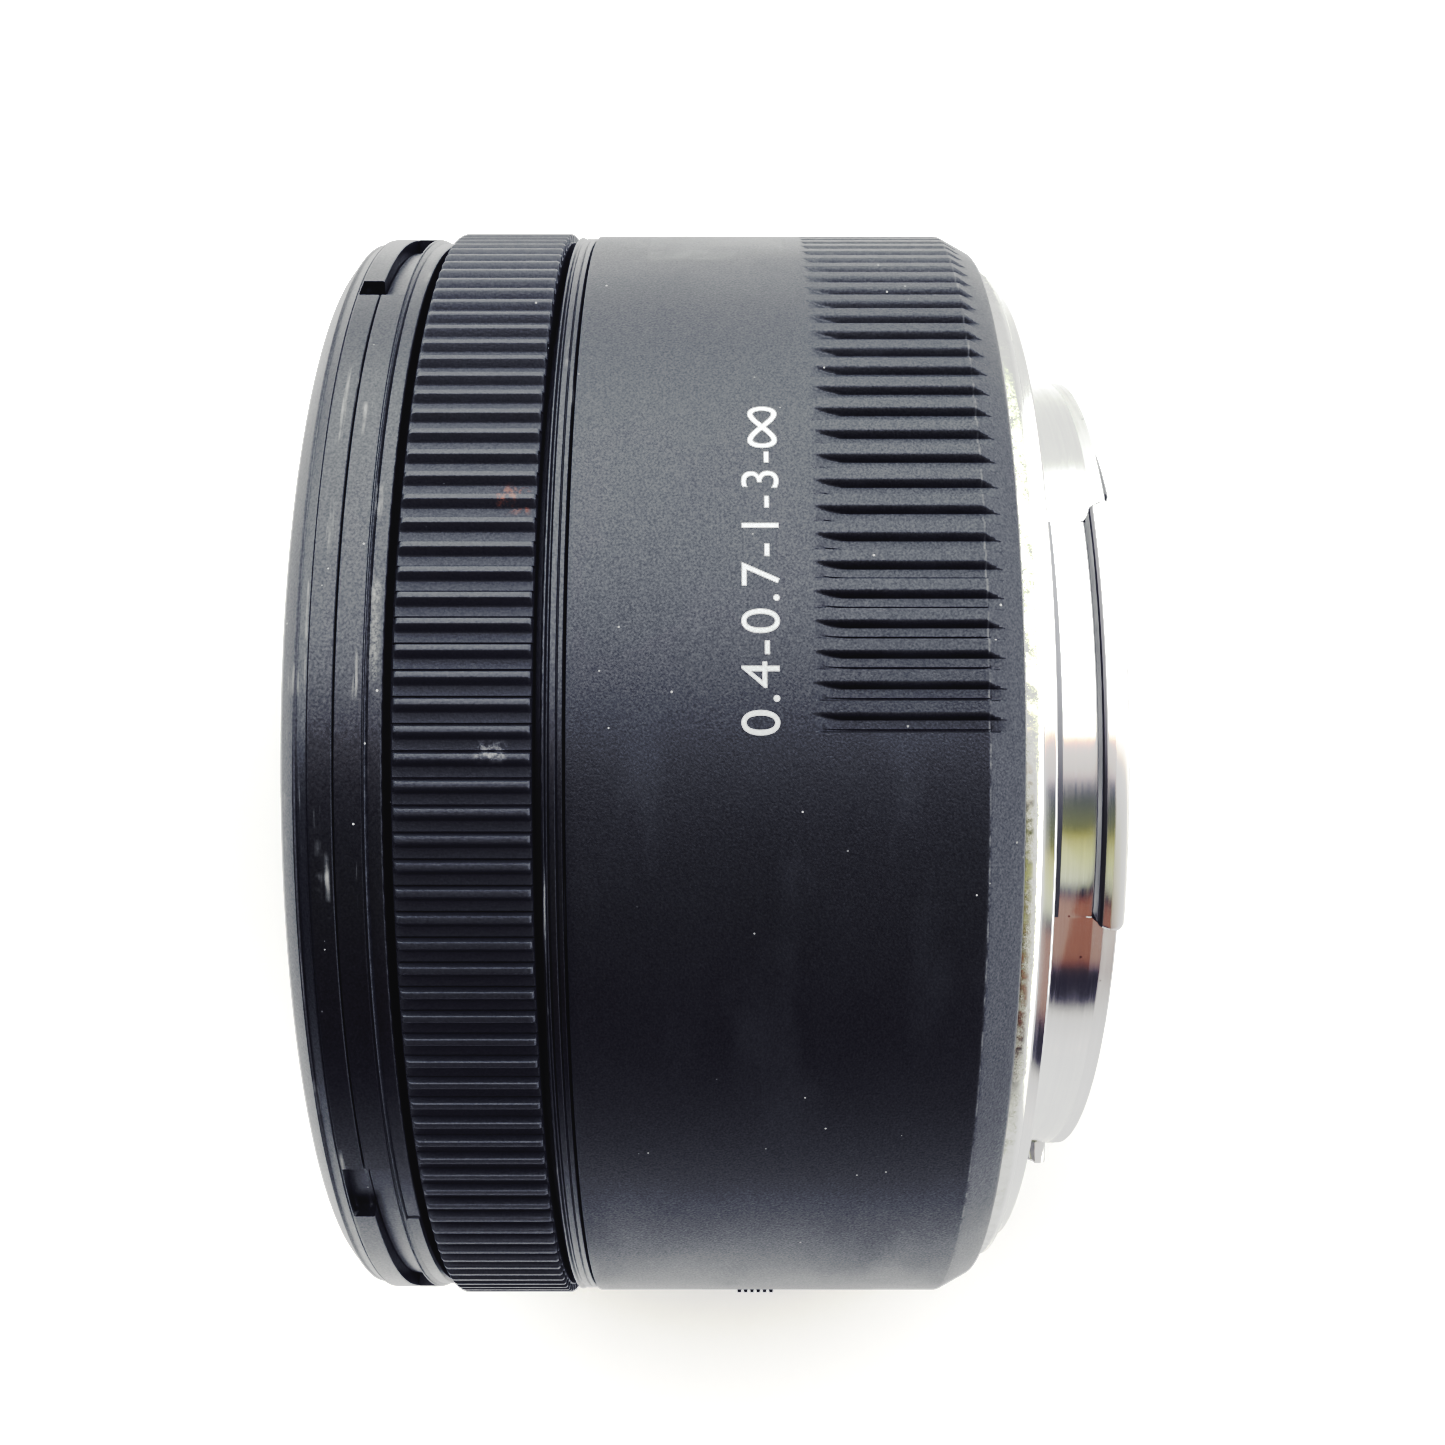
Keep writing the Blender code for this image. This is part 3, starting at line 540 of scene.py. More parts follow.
PLASTICS = {
    "inner": ("inner_matt_black", (0.008, 0.008, 0.0085), 0.6, 6.0, 0.006, 0.4),
    "grey": ("grey_frame", (0.09, 0.09, 0.095), 0.5, 5.0, 0.006, 0.0),
    "white": ("white_gear", (0.70, 0.69, 0.65), 0.42, 5.0, 0.003, 0.0),
    "red": ("index_red", (0.55, 0.015, 0.015), 0.28, 4.0, 0.003, 0.3),
}
METALS = {
    "steel": ("steel", (0.46, 0.46, 0.47), 0.27, 6.0),
    # Painted shadow: a dark metal for the strip that stands for the lug's shade on the seat.
    "shade_strip": ("painted_lug_shadow", (0.075, 0.075, 0.08), 0.35, 6.0),
    "aluminium": ("cam_aluminium", (0.52, 0.52, 0.54), 0.33, 5.0, 0.003),
    "brass": ("brass", (0.72, 0.52, 0.22), 0.28, 6.0),
    "gold": ("gold_contacts", (0.92, 0.68, 0.28), 0.18, 8.0, 0.0006),
    "blade": ("blackened_steel", (0.06, 0.06, 0.065), 0.38, 7.0),
}


def make_materials():
    """Every material by name, each with detail at its own scale."""
    made = {
        "satin": barrel_satin(), "ribs": rib_plastic(), "gloss": ring_gloss(),
        "mount": bayonet_metal(), "foil": striped_foil(), "amber": flex_film(),
        "board": circuit_green(), "mark": painted_mark(),
        "glass_front": coated_glass("coated_glass_front", 1.60, 330.0),
        "glass_inner": coated_glass("coated_glass_inner", 1.70, 240.0),
        "glass_rear": coated_glass("coated_glass_rear", 1.62, 290.0),
    }
    made.update((look, moulded_plastic(*values).done()) for look, values in PLASTICS.items())
    made.update((look, turned_metal(*values).done()) for look, values in METALS.items())
    return made


def striped_foil():
    """Reflective foil with etched lines across it, as an encoder has."""
    surface = Surface("encoder_foil", (0.42, 0.42, 0.43), 0.28, 1.0)
    arc = surface.split(surface.turned_place(1.0))[2]
    lines = surface.math("FRACT", surface.product(arc, 1.0 / 0.6))
    surface.tint(surface.math("GREATER_THAN", lines, 0.5), (0.03, 0.03, 0.03))
    surface.roughen(surface.noise(surface.object_place(), 3.0), 0.1)
    return surface.done()


def flex_film():
    """Amber film with copper tracks under it."""
    surface = Surface("amber_flex", (0.52, 0.25, 0.05), 0.35)
    arc = surface.split(surface.turned_place(1.0))[2]
    tracks = surface.math("GREATER_THAN", surface.math("FRACT", surface.product(arc, 2.0)), 0.45)
    surface.tint(tracks, (0.30, 0.12, 0.03), 0.7)
    surface.roughen(surface.noise(surface.object_place(), 2.0), 0.1)
    return surface.done()


def circuit_green():
    """Solder mask over tracks, with small tinned pads."""
    surface = Surface("board_green", (0.02, 0.13, 0.06), 0.35)
    place = surface.object_place()
    tracks = surface.noise(place, 0.9, 1.0, 0.49, 0.51)
    surface.tint(tracks, (0.04, 0.22, 0.10), 0.5)
    surface.tint(surface.specks(place, 0.7, 0.22), (0.55, 0.55, 0.53))
    surface.raise_by(tracks, 0.03)
    return surface.done()


def painted_mark():
    """White printed numbers, a little uneven."""
    surface = Surface("white_print", (0.30, 0.305, 0.31), 0.5)
    place = surface.object_place()
    surface.tint(surface.noise(place, 6.0), (0.22, 0.225, 0.23), 0.25)
    surface.roughen(surface.noise(place, 3.0), 0.1)
    return surface.done()


def coated_glass(name, index, film):
    """Clear glass with a thin coating that tints its reflections, and faint dust."""
    surface = Surface(name, (1.0, 1.0, 1.0), 0.0)
    surface.shader.inputs["IOR"].default_value = index
    surface.shader.inputs["Transmission Weight"].default_value = 1.0
    surface.shader.inputs["Thin Film Thickness"].default_value = film
    surface.shader.inputs["Thin Film IOR"].default_value = 1.38
    place = surface.object_place()
    surface.roughen(surface.specks(place, 0.5, 0.03), 0.5)
    surface.tint(surface.noise(place, 0.2), (0.9, 0.95, 0.97), 0.04)
    return surface.done()


LOOK = make_materials()


# ---- front rings

def stations(sections, coarse, edge=0.02):
    """Angles around the axis at a coarse step, with a close pair at each end of each section."""
    angles = list(even_angles(round(360.0 / coarse)))
    for start, end in sections:
        for angle in (start, end):
            angles += [(angle - edge) % 360.0, (angle + edge) % 360.0]
    return sorted(set(angles))


def inside(angle, sections):
    return any((angle - start) % 360.0 < end - start for start, end in sections)


CHANNELS = ((-74.0, -50.0), (39.5, 74.0), (106.0, 130.0), (219.5, 254.0))
NOTCHES = ((-53.0, -50.0), (39.5, 47.0), (127.0, 130.0), (219.5, 227.0))
CHANNEL_RADIUS = 33.45


def make_front_trim_ring():
    """The rounded nose of the lens, with an entry notch for each of a hood's lugs."""
    front, rear, radius = TRIM.front, TRIM.rear, TRIM.radius
    plain = [(27.6, rear, 0.05), (27.6, front + 1.1, 0.3), (28.3, front + 0.12, 0.25),
             (28.9, front, 0.2), (32.5, front, 0.25), (32.95, front + 0.14, 0.25),
             (33.95, front + 0.95, 0.05), (33.86, front + 1.08, 0.04), (radius, front + 1.68, 0.06)]
    outline = rounded(plain, 0.1, 4)
    outline += [(radius, front + 1.80), (radius, front + 1.82), (radius, rear - 0.06),
                (radius - 0.06, rear)]
    cut_from = len(outline) - 3
    angles = stations(NOTCHES, 1.2)
    outlines = []
    for angle in angles:
        row = list(outline)
        if inside(angle, NOTCHES):
            row[cut_from:] = [(CHANNEL_RADIUS, y) for _, y in row[cut_from:]]
        outlines.append(row)
    new_piece("nose_ring", sweep(outlines, angles), "gloss", "front_trim_ring")


def make_hood_bayonet_ring():
    """The ring behind the nose, with the channels that a hood's lugs turn into."""
    front, rear, radius = HOOD.front, HOOD.rear, HOOD.radius
    step = -34.95
    channel = [(radius - 0.06, front), (radius, front + 0.06), (radius, step - 0.02)]
    outline = [(radius, step), (radius - 0.02, step + 0.05), (radius - 0.09, step + 0.07),
               (radius - 0.09, step + 0.13), (radius - 0.05, step + 0.17),
               (radius - 0.10, step + 0.24), (34.0, step + 0.32), (34.0, -34.02),
               (33.97, -33.95), (33.9, -33.9), (32.0, -33.9), (32.0, rear), (31.0, rear),
               (31.0, -34.0), (27.6, -34.0), (27.6, front)]
    raised = len(channel) + 6
    angles = stations(CHANNELS + ((48.0, 95.0),), 1.2)
    outlines = []
    for angle in angles:
        row = channel + outline
        if inside(angle, CHANNELS):
            row = [(CHANNEL_RADIUS, y) for _, y in channel] + outline
        if inside(angle, ((48.0, 95.0),)):
            row = row[:raised] + [(r + 0.07, y) for r, y in row[raised:raised + 2]] + row[raised + 2:]
        outlines.append(row)
    new_piece("hood_ring", sweep(outlines, angles), "gloss", "hood_bayonet_ring")


def make_front_collar():
    front, rear, radius = COLLAR.front, COLLAR.rear, COLLAR.radius
    plain = [(32.35, front), (34.12, front), (34.30, front + 0.05), (34.37, front + 0.13),
             (34.37, front + 0.19), (34.20, front + 0.27), (34.16, front + 0.36),
             (radius, front + 0.46), (radius, front + 0.74), (34.2, front + 0.80), (radius, front + 0.88),
             (radius, rear - 0.12), (34.16, rear), (32.35, rear)]
    turned("collar_ring", rounded(plain, 0.04, 3), "gloss", "front_collar", count=360)


# ---- focus ring

RIBS = 160
RIB_FIRST = 1.43           # angle of the upper edge of the first rib
RIB_LAND = 0.37
RIB_SLANT = 0.36
RIB_FLOOR = 0.56
RIB_DEPTH = 0.46
RIB_NOSE = 0.36


def rib_stations():
    """Places across one rib's pitch, in millimetres from its edge, each with its height.

    One wall of a rib is slanted and the other is steep, with a narrow crease at its foot.
    """
    slant_end = RIB_LAND + RIB_SLANT
    floor_end = slant_end + RIB_FLOOR
    return [(0.0, 0.76), (0.012, 0.82), (0.055, 0.94), (0.075, 0.955), (RIB_LAND - 0.06, 1.0),
            (RIB_LAND - 0.02, 0.985), (RIB_LAND + 0.02, 0.91), (RIB_LAND + 0.24, 0.20),
            (RIB_LAND + 0.30, 0.05), (slant_end, 0.0), (floor_end - 0.08, 0.03),
            (floor_end - 0.05, -0.45), (floor_end + 0.02, -0.45)]


def make_focus_ring():
    """The ribbed ring: each rib has a rounded front end and a small chamfer at the rear."""
    front, rear, radius = GRIP.front, GRIP.rear, GRIP.radius
    floor = radius - RIB_DEPTH
    lengthwise = [(front + 0.04, -0.12, 0.0), (front + 0.10, -0.02, 0.0)]
    for step in range(1, 7):
        share = step / 6.0
        height = math.sqrt(1.0 - (1.0 - share) ** 2)
        lengthwise.append((front + 0.10 + RIB_NOSE * share, 0.0, height))
    lengthwise += [(rear - 0.55, 0.0, 1.0), (rear - 0.20, 0.0, 1.0), (rear - 0.12, 0.0, 0.93),
                   (rear - 0.06, 0.0, 0.80), (rear - 0.05, 0.0, 0.0), (rear, -0.08, 0.0)]
    bore = 32.75
    inner = [(bore, rear), (bore, front), (floor - 0.35, front)]
    angles = []
    outlines = []
    for rib in range(RIBS):
        for place, height in rib_stations():
            angles.append(RIB_FIRST + 360.0 * rib / RIBS + math.degrees(place / radius))
            outlines.append([(floor + lift + RIB_DEPTH * height * (share if height > 0 else 1.0), y)
                             for y, lift, share in lengthwise] + inner)
    new_piece("ribbed_ring", sweep(outlines, angles), "ribs", "focus_ring", body="focus_ring")


# ---- main barrel

GROOVES = 53
GROOVE_PITCH = 2.6
GROOVE_FIRST = -2.5        # angle of the rear wall of the groove nearest to the mark's side
GROOVE_DEPTH = 0.38
GROOVE_WALL = 0.37
GROOVE_FLOOR = 0.55
GROOVE_STEP = 0.07
GROOVE_START = -12.5
GROOVE_RAMP = 1.9
GROOVE_REAR = -3.8


def groove_stations():
    """Places across one groove, in millimetres from its start, each with its share of depth.

    A share over 1 is the narrow crease at the foot of the groove's steep wall.
    """
    places = [(-0.05, 0.0)]
    for step in range(8):
        share = step / 7.0
        places.append((GROOVE_WALL * share, 1.0 - math.cos(0.5 * math.pi * share)))
    floor_end = GROOVE_WALL + GROOVE_FLOOR
    places += [(GROOVE_WALL + 0.03, 1.0), (floor_end - 0.11, 1.0), (floor_end - 0.08, 1.5),
               (floor_end, 1.5), (floor_end + GROOVE_STEP, 0.0),
               (floor_end + GROOVE_STEP + 0.04, 0.0)]
    return places


def groove_depth(share, y):
    """How deep a groove is at a place along the barrel: it runs out gently at its front."""
    along = min(1.0, max(0.0, (y - GROOVE_START) / GROOVE_RAMP))
    limit = GROOVE_DEPTH * (1.0 - (1.0 - along) ** 2)
    fade = min(1.0, max(0.0, (GROOVE_REAR - y) / 0.4))
    crease = max(0.0, share - 1.0) * limit * along * fade
    return min(GROOVE_DEPTH * share, limit) + crease


def bend(start, corner, end, steps):
    """Points of a smooth bend from start to end around a corner."""
    points = []
    for step in range(steps + 1):
        share = step / steps
        place = (Vector(start) * (1 - share) ** 2 + Vector(corner) * 2 * share * (1 - share)
                 + Vector(end) * share ** 2)
        points.append(tuple(place))
    return points


def make_main_barrel():
    """The outer barrel with its grip grooves, and the recess for the switch panel."""
    front, rear, radius = BARREL.front, BARREL.rear, BARREL.radius
    corner = Vector((radius, -3.9))
    slope_end = Vector((33.4, rear))
    slope = (slope_end - corner).normalized()
    lengthwise = [(radius - 0.10, front), (radius - 0.03, front + 0.03), (radius, front + 0.12),
                  (radius, front + 0.5)]
    lengthwise += [(radius, y) for y in (-20.0, -16.0, -13.2, -12.7)]
    lengthwise += [(radius, GROOVE_START + GROOVE_RAMP * share / 9.0) for share in range(10)]
    lengthwise += [(radius, y) for y in (-9.5, -8.0, -6.5, -5.0, -4.25)]
    lengthwise += bend((radius, corner.y - 0.14), corner, corner + slope * 0.14, 5)
    lengthwise += [tuple(corner + slope * reach) for reach in (0.3, 0.6, 1.0, 1.4)]
    lengthwise += bend(slope_end - slope * 0.25, slope_end, (33.1, rear), 4)
    inner = [(26.2, rear), (26.2, -3.3), (33.0, -3.3), (33.0, front)]
    angles = []
    limits = []
    degree = math.degrees(1.0 / radius)
    span = (GROOVE_WALL + GROOVE_FLOOR + GROOVE_STEP) * degree
    first = GROOVE_FIRST - span - GROOVE_PITCH * (GROOVES - 1)
    for index in range(GROOVES):
        start = first + GROOVE_PITCH * index
        for place, share in groove_stations():
            angles.append(start + place * degree)
            limits.append(share)
    plain = 1.0
    angle = GROOVE_FIRST + plain
    while angle < first + 360.0 - plain:
        angles.append(angle)
        limits.append(0.0)
        angle += plain
    outlines = []
    for share in limits:
        row = []
        for r, y in lengthwise:
            row.append((min(r, radius - groove_depth(share, y)), y))
        outlines.append(row + inner)
    barrel = new_piece("outer_barrel", sweep(outlines, angles), "satin", "main_barrel")
    low, high = node_box("switch_panel")
    gap = 0.06
    recess = box_points((low.x - gap, low.y - gap, low.z - gap),
                        (radius + 2.0, high.y + gap, high.z + gap))
    slot = box_points((radius - 3.0, -16.3, -1.2), (radius + 2.0, -10.2, 1.2))
    carve(barrel, [recess, slot])


def make_switch():
    """The flat panel in the side of the barrel, dished around the window for the knob."""
    low, high = node_box("switch_panel")
    panel = new_piece("mode_panel", box_points(low, high), "satin", "switch_panel")
    carve(panel, [box_points((high.x - 0.25, -16.7, -2.7), (high.x + 1.0, -9.8, 2.7)),
                  box_points((low.x - 1.0, -16.2, -1.15), (high.x + 1.0, -10.3, 1.15))])
    soften(panel, 0.12)


def make_switch_knob():
    """The ridged knob, on a narrower stem that passes through the barrel."""
    low, high = node_box("mode_switch_knob")
    base = high.x - 0.95
    on_knob = {"body": "mode_switch", "slot": "satin_black_plastic"}
    knob = new_piece("mode_knob", box_points((base, low.y, low.z), high), "gloss",
                     "mode_switch_knob", **on_knob)
    centre = (low.y + high.y) / 2
    places = [centre + 0.42 * index for index in range(-2, 3)]
    carve(knob, [box_points((high.x - 0.18, y - 0.08, -3.0), (high.x + 1.0, y + 0.08, 3.0))
                 for y in places])
    soften(knob, 0.05, 2)
    stem = box_points((low.x, centre - 0.8, -0.8), (base, centre + 0.8, 0.8))
    soften(new_piece("mode_stem", stem, "inner", **on_knob), 0.1, 2)


def make_switch_marks():
    """A printed line on each side of the knob, a long one and a short one."""
    middle = -13.25
    for name, z, width in (("front", -3.7, 2.2), ("rear", 3.7, 1.0)):
        line = box_points((34.29, middle - width / 2, z - 0.12),
                          (34.32, middle + width / 2, z + 0.12))
        new_piece("mode_mark_" + name, line, "mark")


def make_index_dot():
    """A small dome that leans back over the barrel's rear corner."""
    low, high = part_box("index_dot")
    place = (low + high) / 2
    angle = math.degrees(math.atan2(place.x, place.z))
    count = 40
    rings = [(0.80, -0.30), (0.80, 0.02), (0.72, 0.12), (0.52, 0.20), (0.25, 0.24)]
    radial = Vector(polar(1.0, angle, 0.0)) / MM
    out = (radial * 0.83 + Vector((0.0, 0.56, 0.0))).normalized()
    side = Vector((radial.z, 0.0, -radial.x))
    up = out.cross(side)
    points = []
    for size, lift in rings:
        for index in range(count):
            turn = 2.0 * math.pi * index / count
            points.append(place + (side * math.cos(turn) * size + up * math.sin(turn) * size
                                   + out * lift) * MM)
    new_piece("mount_index_dot", (points, ring_faces(len(rings), count)), "red", "index_dot")


# ---- distance mark

MARK_FIRST = -2.1
MARK_LAST = -32.6
MARK_BASE = -14.27
MARK_HEIGHT = 2.0


def wrap_on_barrel(mesh, width, base_angle, span):
    """Wrap a flat mesh (advance, up, thickness) on the barrel, reading towards smaller angles."""
    radius = BARREL.radius
    for vertex in mesh.vertices:
        advance, up, lift = vertex.co
        angle = base_angle - span * advance / width
        vertex.co = polar(radius + lift / MM, angle, MARK_BASE - up / MM)


def make_distance_mark():
    """Plain distance numbers and the sign for infinity, printed along the barrel."""
    text = bpy.data.curves.new("distance_numbers", "FONT")
    text.body = "0.4-0.7-1-3-"
    text.size = MARK_HEIGHT * MM / 0.73
    text.offset = -0.010 * MM
    text.extrude = 0.02 * MM
    text.space_character = 1.12
    holder = placed("distance_numbers", text)
    mesh = evaluated_mesh(holder)
    bpy.data.objects.remove(holder)
    width = max(vertex.co.x for vertex in mesh.vertices)
    loop_span = 5.0
    span = MARK_FIRST - MARK_LAST - loop_span
    wrap_on_barrel(mesh, width, MARK_FIRST, span)
    mesh.materials.append(LOOK["mark"])
    numbers = placed("distance_numbers", mesh)
    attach(numbers, "lens_body")
    make_infinity_sign(MARK_FIRST - span - 0.4, loop_span - 0.4)


def make_infinity_sign(start, span):
    """The sign for infinity as a ribbon that follows a figure of eight."""
    steps = 96
    half_line = 0.14
    lift = 0.02
    half_width = span / 2
    radius = BARREL.radius
    mm_per_degree = math.pi * radius / 180.0
    reach = half_width * mm_per_degree - half_line
    tall = 0.62
    line = []
    for index in range(steps):
        turn = 2.0 * math.pi * index / steps
        line.append(Vector((reach * math.sin(turn), tall * math.sin(2.0 * turn))))
    points = []
    for index, place in enumerate(line):
        along = (line[(index + 1) % steps] - line[index - 1]).normalized()
        side = Vector((-along.y, along.x)) * half_line
        for edge, height in ((-1, -lift), (-1, lift), (1, lift), (1, -lift)):
            spot = place + side * edge
            angle = start - half_width - spot.x / mm_per_degree
            points.append(polar(radius + height, angle, MARK_BASE - 0.8 - spot.y))
    new_piece("infinity_sign", (points, ring_faces(steps, 4, closed=True)), "mark")


# ---- bayonet mount

def lug_middles():
    return [LUG_CENTRE + 120.0 * index for index in range(3)]


def screw_place(angle):
    """A hole's centre (x, z) in the flange, in millimetres."""
    x, _, z = polar(SCREW_RADIUS, angle, 0.0)
    return x / MM, z / MM


def mount_outline(angle):
    """The mount's section at one angle: flange, tube and, where there is one, a lug."""
    front, rear, radius = MOUNT.front, MOUNT.rear, MOUNT.radius
    flange = [(TUBE_BORE, front), (radius - 0.12, front), (radius - 0.02, front + 0.04),
              (radius, front + 0.12), (radius, -1.26), (radius - 0.03, -1.20),
              (radius - 0.10, -1.04), (radius - 0.13, -0.92), (radius - 0.22, -0.86),
              (radius - 1.08, -0.80), (radius - 1.18, -0.74), (radius - 1.2, -0.66),
              (radius - 1.2, -0.12), (radius - 1.26, -0.03), (radius - 1.4, 0.0), (25.8, 0.0),
              (25.45, -0.12), (25.25, -0.12), (TUBE_RADIUS, 0.0), (TUBE_RADIUS, 2.9)]
    corner = 0.45
    back = rear - 0.02
    base = TUBE_RADIUS + 0.12
    shares = (0.0, 0.0, 0.06, 0.10, 0.45, 0.88, 0.96, 1.0, 1.0)
    heights = (0.0, 0.80, 0.86, 0.87, 1.0, 1.0, 0.985, 0.93, 0.0)
    lug = [(base, LUG_FRONT + (back - LUG_FRONT) * share) for share in shares]
    for middle in lug_middles():
        off = abs((angle - middle + 180.0) % 360.0 - 180.0)
        inward = (LUG_SPAN / 2 - off) * math.pi * LUG_RADIUS / 180.0
        if inward < 0.0:
            continue
        trim = corner - math.sqrt(max(0.0, corner ** 2 - max(0.0, corner - inward) ** 2))
        start = LUG_FRONT + trim
        end = back - trim
        lug = [(base + (LUG_RADIUS - base) * height, start + (end - start) * share)
               for share, height in zip(shares, heights)]
    rim = [(base - 0.02, back - 0.01), (base - 0.12, rear), (TUBE_BORE + 0.15, rear),
           (TUBE_BORE, rear - 0.12)]
    return flange + lug + rim


def make_mount():
    """Flange, tube and three lugs, with countersunk screw holes and the lock pin's hole."""
    lugs = []
    angles = even_angles(360)
    for middle in lug_middles():
        start = middle - LUG_SPAN / 2
        end = middle + LUG_SPAN / 2
        lugs.append((start, end))
        for share in (0.02, 0.06, 0.12, 0.20, 0.30, 0.42, 0.55, 0.70, 0.85, 1.0):
            angles += [(start + share) % 360.0, (end - share) % 360.0]
        angles += [(start - 0.01) % 360.0, (end + 0.01) % 360.0]
    angles = sorted(set(angles))
    shape = sweep([mount_outline(angle) for angle in angles], angles)
    mount = new_piece("bayonet_mount", shape, "mount", "mount_ring")
    cuts = []
    for angle in SCREW_ANGLES:
        cuts.append(rod_points(screw_place(angle), 2.0, -0.8, 1.0))
        cuts.append(rod_points(screw_place(angle), 1.1, -3.0, 0.0))
    cuts.append(rod_points(screw_place(LOCK_ANGLE), 1.3, -3.0, 1.0))
    cuts.append(rounded_slot(-70.0, 2.7, 0.78, 0.6))
    carve(mount, cuts)
    # Painted shadow: a dark strip on the tube behind the first lug stands for the lug's shade on the
    # seat.
    shade_strip = [(TUBE_RADIUS - 0.1, 0.98), (TUBE_RADIUS + 0.05, 0.98), (TUBE_RADIUS + 0.05, 1.34),
              (TUBE_RADIUS - 0.1, 1.34)]
    start, end = lugs[0]
    new_piece("mount_shadow_line", arc_piece(shade_strip, start, end), "shade_strip")


def rounded_slot(angle, middle, half_length, half_width):
    """A cutter for a short slot across the tube's wall at an angle."""
    out = Vector(polar(1.0, angle, 0.0)) / MM
    side = Vector((out.z, 0.0, -out.x))
    steps = 10
    outline = []
    for end in (1.0, -1.0):
        for index in range(steps + 1):
            bend = math.pi * index / steps - 0.5 * math.pi
            y = middle + end * (half_length - half_width) + end * half_width * math.cos(bend)
            outline.append((y, end * half_width * math.sin(bend)))
    points = []
    for radius in (TUBE_RADIUS - 0.7, TUBE_RADIUS + 1.0):
        for y, across in outline:
            points.append((out * radius + side * across + Vector((0.0, y, 0.0))) * MM)
    return points, ring_faces(2, len(outline))


def make_mount_screws():
    """Flat screw heads with a cross recess."""
    for number, angle in enumerate(SCREW_ANGLES, 1):
        centre = screw_place(angle)
        screw = new_piece("mount_screw_head_" + str(number),
                          rod_points(centre, 1.75, -0.72, -0.10, 48), "steel",
                          "mount_screw_" + str(number))
        soften(screw, 0.12)
        cuts = []
        for long, short in ((0.95, 0.17), (0.17, 0.95)):
            cuts.append(box_points((centre[0] - long, -0.55, centre[1] - short),
                                   (centre[0] + long, 0.5, centre[1] + short)))
        carve(screw, cuts)


# ---- rear of the lens

def make_rear():
    """The baffle with its window and a room cut for the contact block, and the cover behind the glass."""
    front, rear = BAFFLE.front, BAFFLE.rear
    outline = [(10.0, rear), (10.0, front), (23.3, front), (23.3, rear)]
    ridges = []
    radius = 22.6
    while radius > 15.2:
        ridges += [(radius, rear), (radius - 0.18, rear - 0.22), (radius - 0.36, rear)]
        radius -= 0.72
    baffle = turned("rear_baffle_plate", outline + ridges, "inner", "rear_baffle", count=240)
    window = rounded_window(14.0, 11.0, 4.0, front - 1.0, rear + 1.0)
    room = arc_piece([(18.5, front - 1.0), (24.5, front - 1.0), (24.5, rear + 1.0),
                      (18.5, rear + 1.0)], CONTACT_SPAN[0] - 1.0, CONTACT_SPAN[1] + 1.0)
    carve(baffle, [window, room])
    soften(baffle, 0.06, 2)
    front, rear = COVER.front, COVER.rear
    outline = rounded([(15.4, front), (23.2, front), (23.2, rear), (18.0, rear), (17.0, rear - 0.2),
                       (15.4, rear - 0.2)], 0.08, 3)
    cover = turned("rear_cover_plate", outline, "inner", "rear_cover", count=200)
    carve(cover, [arc_piece([(20.6, front - 1.0), (24.0, front - 1.0), (24.0, rear + 1.0),
                             (20.6, rear + 1.0)], -80.0, -60.0)])


def rounded_window(half_width, half_height, corner, front, rear):
    """A cutter with a rounded rectangle as its outline, along Y."""
    steps = 10
    outline = []
    for side in range(4):
        sign_x = 1 if side in (0, 3) else -1
        sign_z = 1 if side in (0, 1) else -1
        for step in range(steps + 1):
            turn = math.radians(90.0 * (side + step / steps))
            outline.append((sign_x * (half_width - corner) + corner * math.cos(turn),
                            sign_z * (half_height - corner) + corner * math.sin(turn)))
    points = [(x * MM, y * MM, z * MM) for y in (front, rear) for x, z in outline]
    return points, [face[::-1] for face in ring_faces(2, len(outline))]


def make_contacts():
    """The contact block, and eight gold pads let into its rear face."""
    start, end = CONTACT_SPAN
    outline = rounded([(18.9, 0.6), (23.2, 0.6), (23.2, 5.5), (18.9, 5.5)], 0.25, 3)
    block = new_piece("contact_housing", arc_piece(outline, start, end), "inner", "contact_block")
    trough = [(20.2, 4.9), (22.0, 4.9), (22.0, 6.0), (20.2, 6.0)]
    carve(block, [arc_piece(trough, start + 2.6, end - 2.6)])
    strip = [(20.3, 4.80), (21.9, 4.80), (21.9, 5.0), (20.3, 5.0)]
    new_piece("contact_row", arc_piece(strip, start + 3.0, end - 3.0), "inner", "contact_strip",
              slot="gold_contacts")
    pads = 8
    step = (end - start - 14.0) / (pads - 1)
    for index in range(pads):
        angle = start + 7.0 + step * index
        pad = rounded([(20.45, 4.95), (21.75, 4.95), (21.75, 5.62), (20.45, 5.62)], 0.2, 3)
        new_piece("contact_pad_" + str(index + 1), arc_piece(pad, angle - 1.7, angle + 1.7, 0.4),
                  "gold")


# ---- inner barrel and glass

def make_inner_barrel():
    """The moving barrel: a filter thread inside its front end."""
    front, rear, radius = INNER.front, INNER.rear, INNER.radius
    thread = []
    y = -34.9
    pitch = 0.75
    while y - pitch > front + 0.45:
        thread += [(24.35, y), (24.35, y - 0.12), (24.72, y - 0.34), (24.72, y - 0.46)]
        y -= pitch
    plain = [(24.45, y), (24.9, front + 0.12), (25.1, front), (radius - 0.2, front),
             (radius, front + 0.2), (radius, rear), (16.2, rear), (16.2, -16.6), (25.6, -16.6),
             (25.6, -34.0), (24.5, -34.4)]
    turned("focus_barrel", thread + plain, "inner", "inner_barrel", body="inner_barrel")


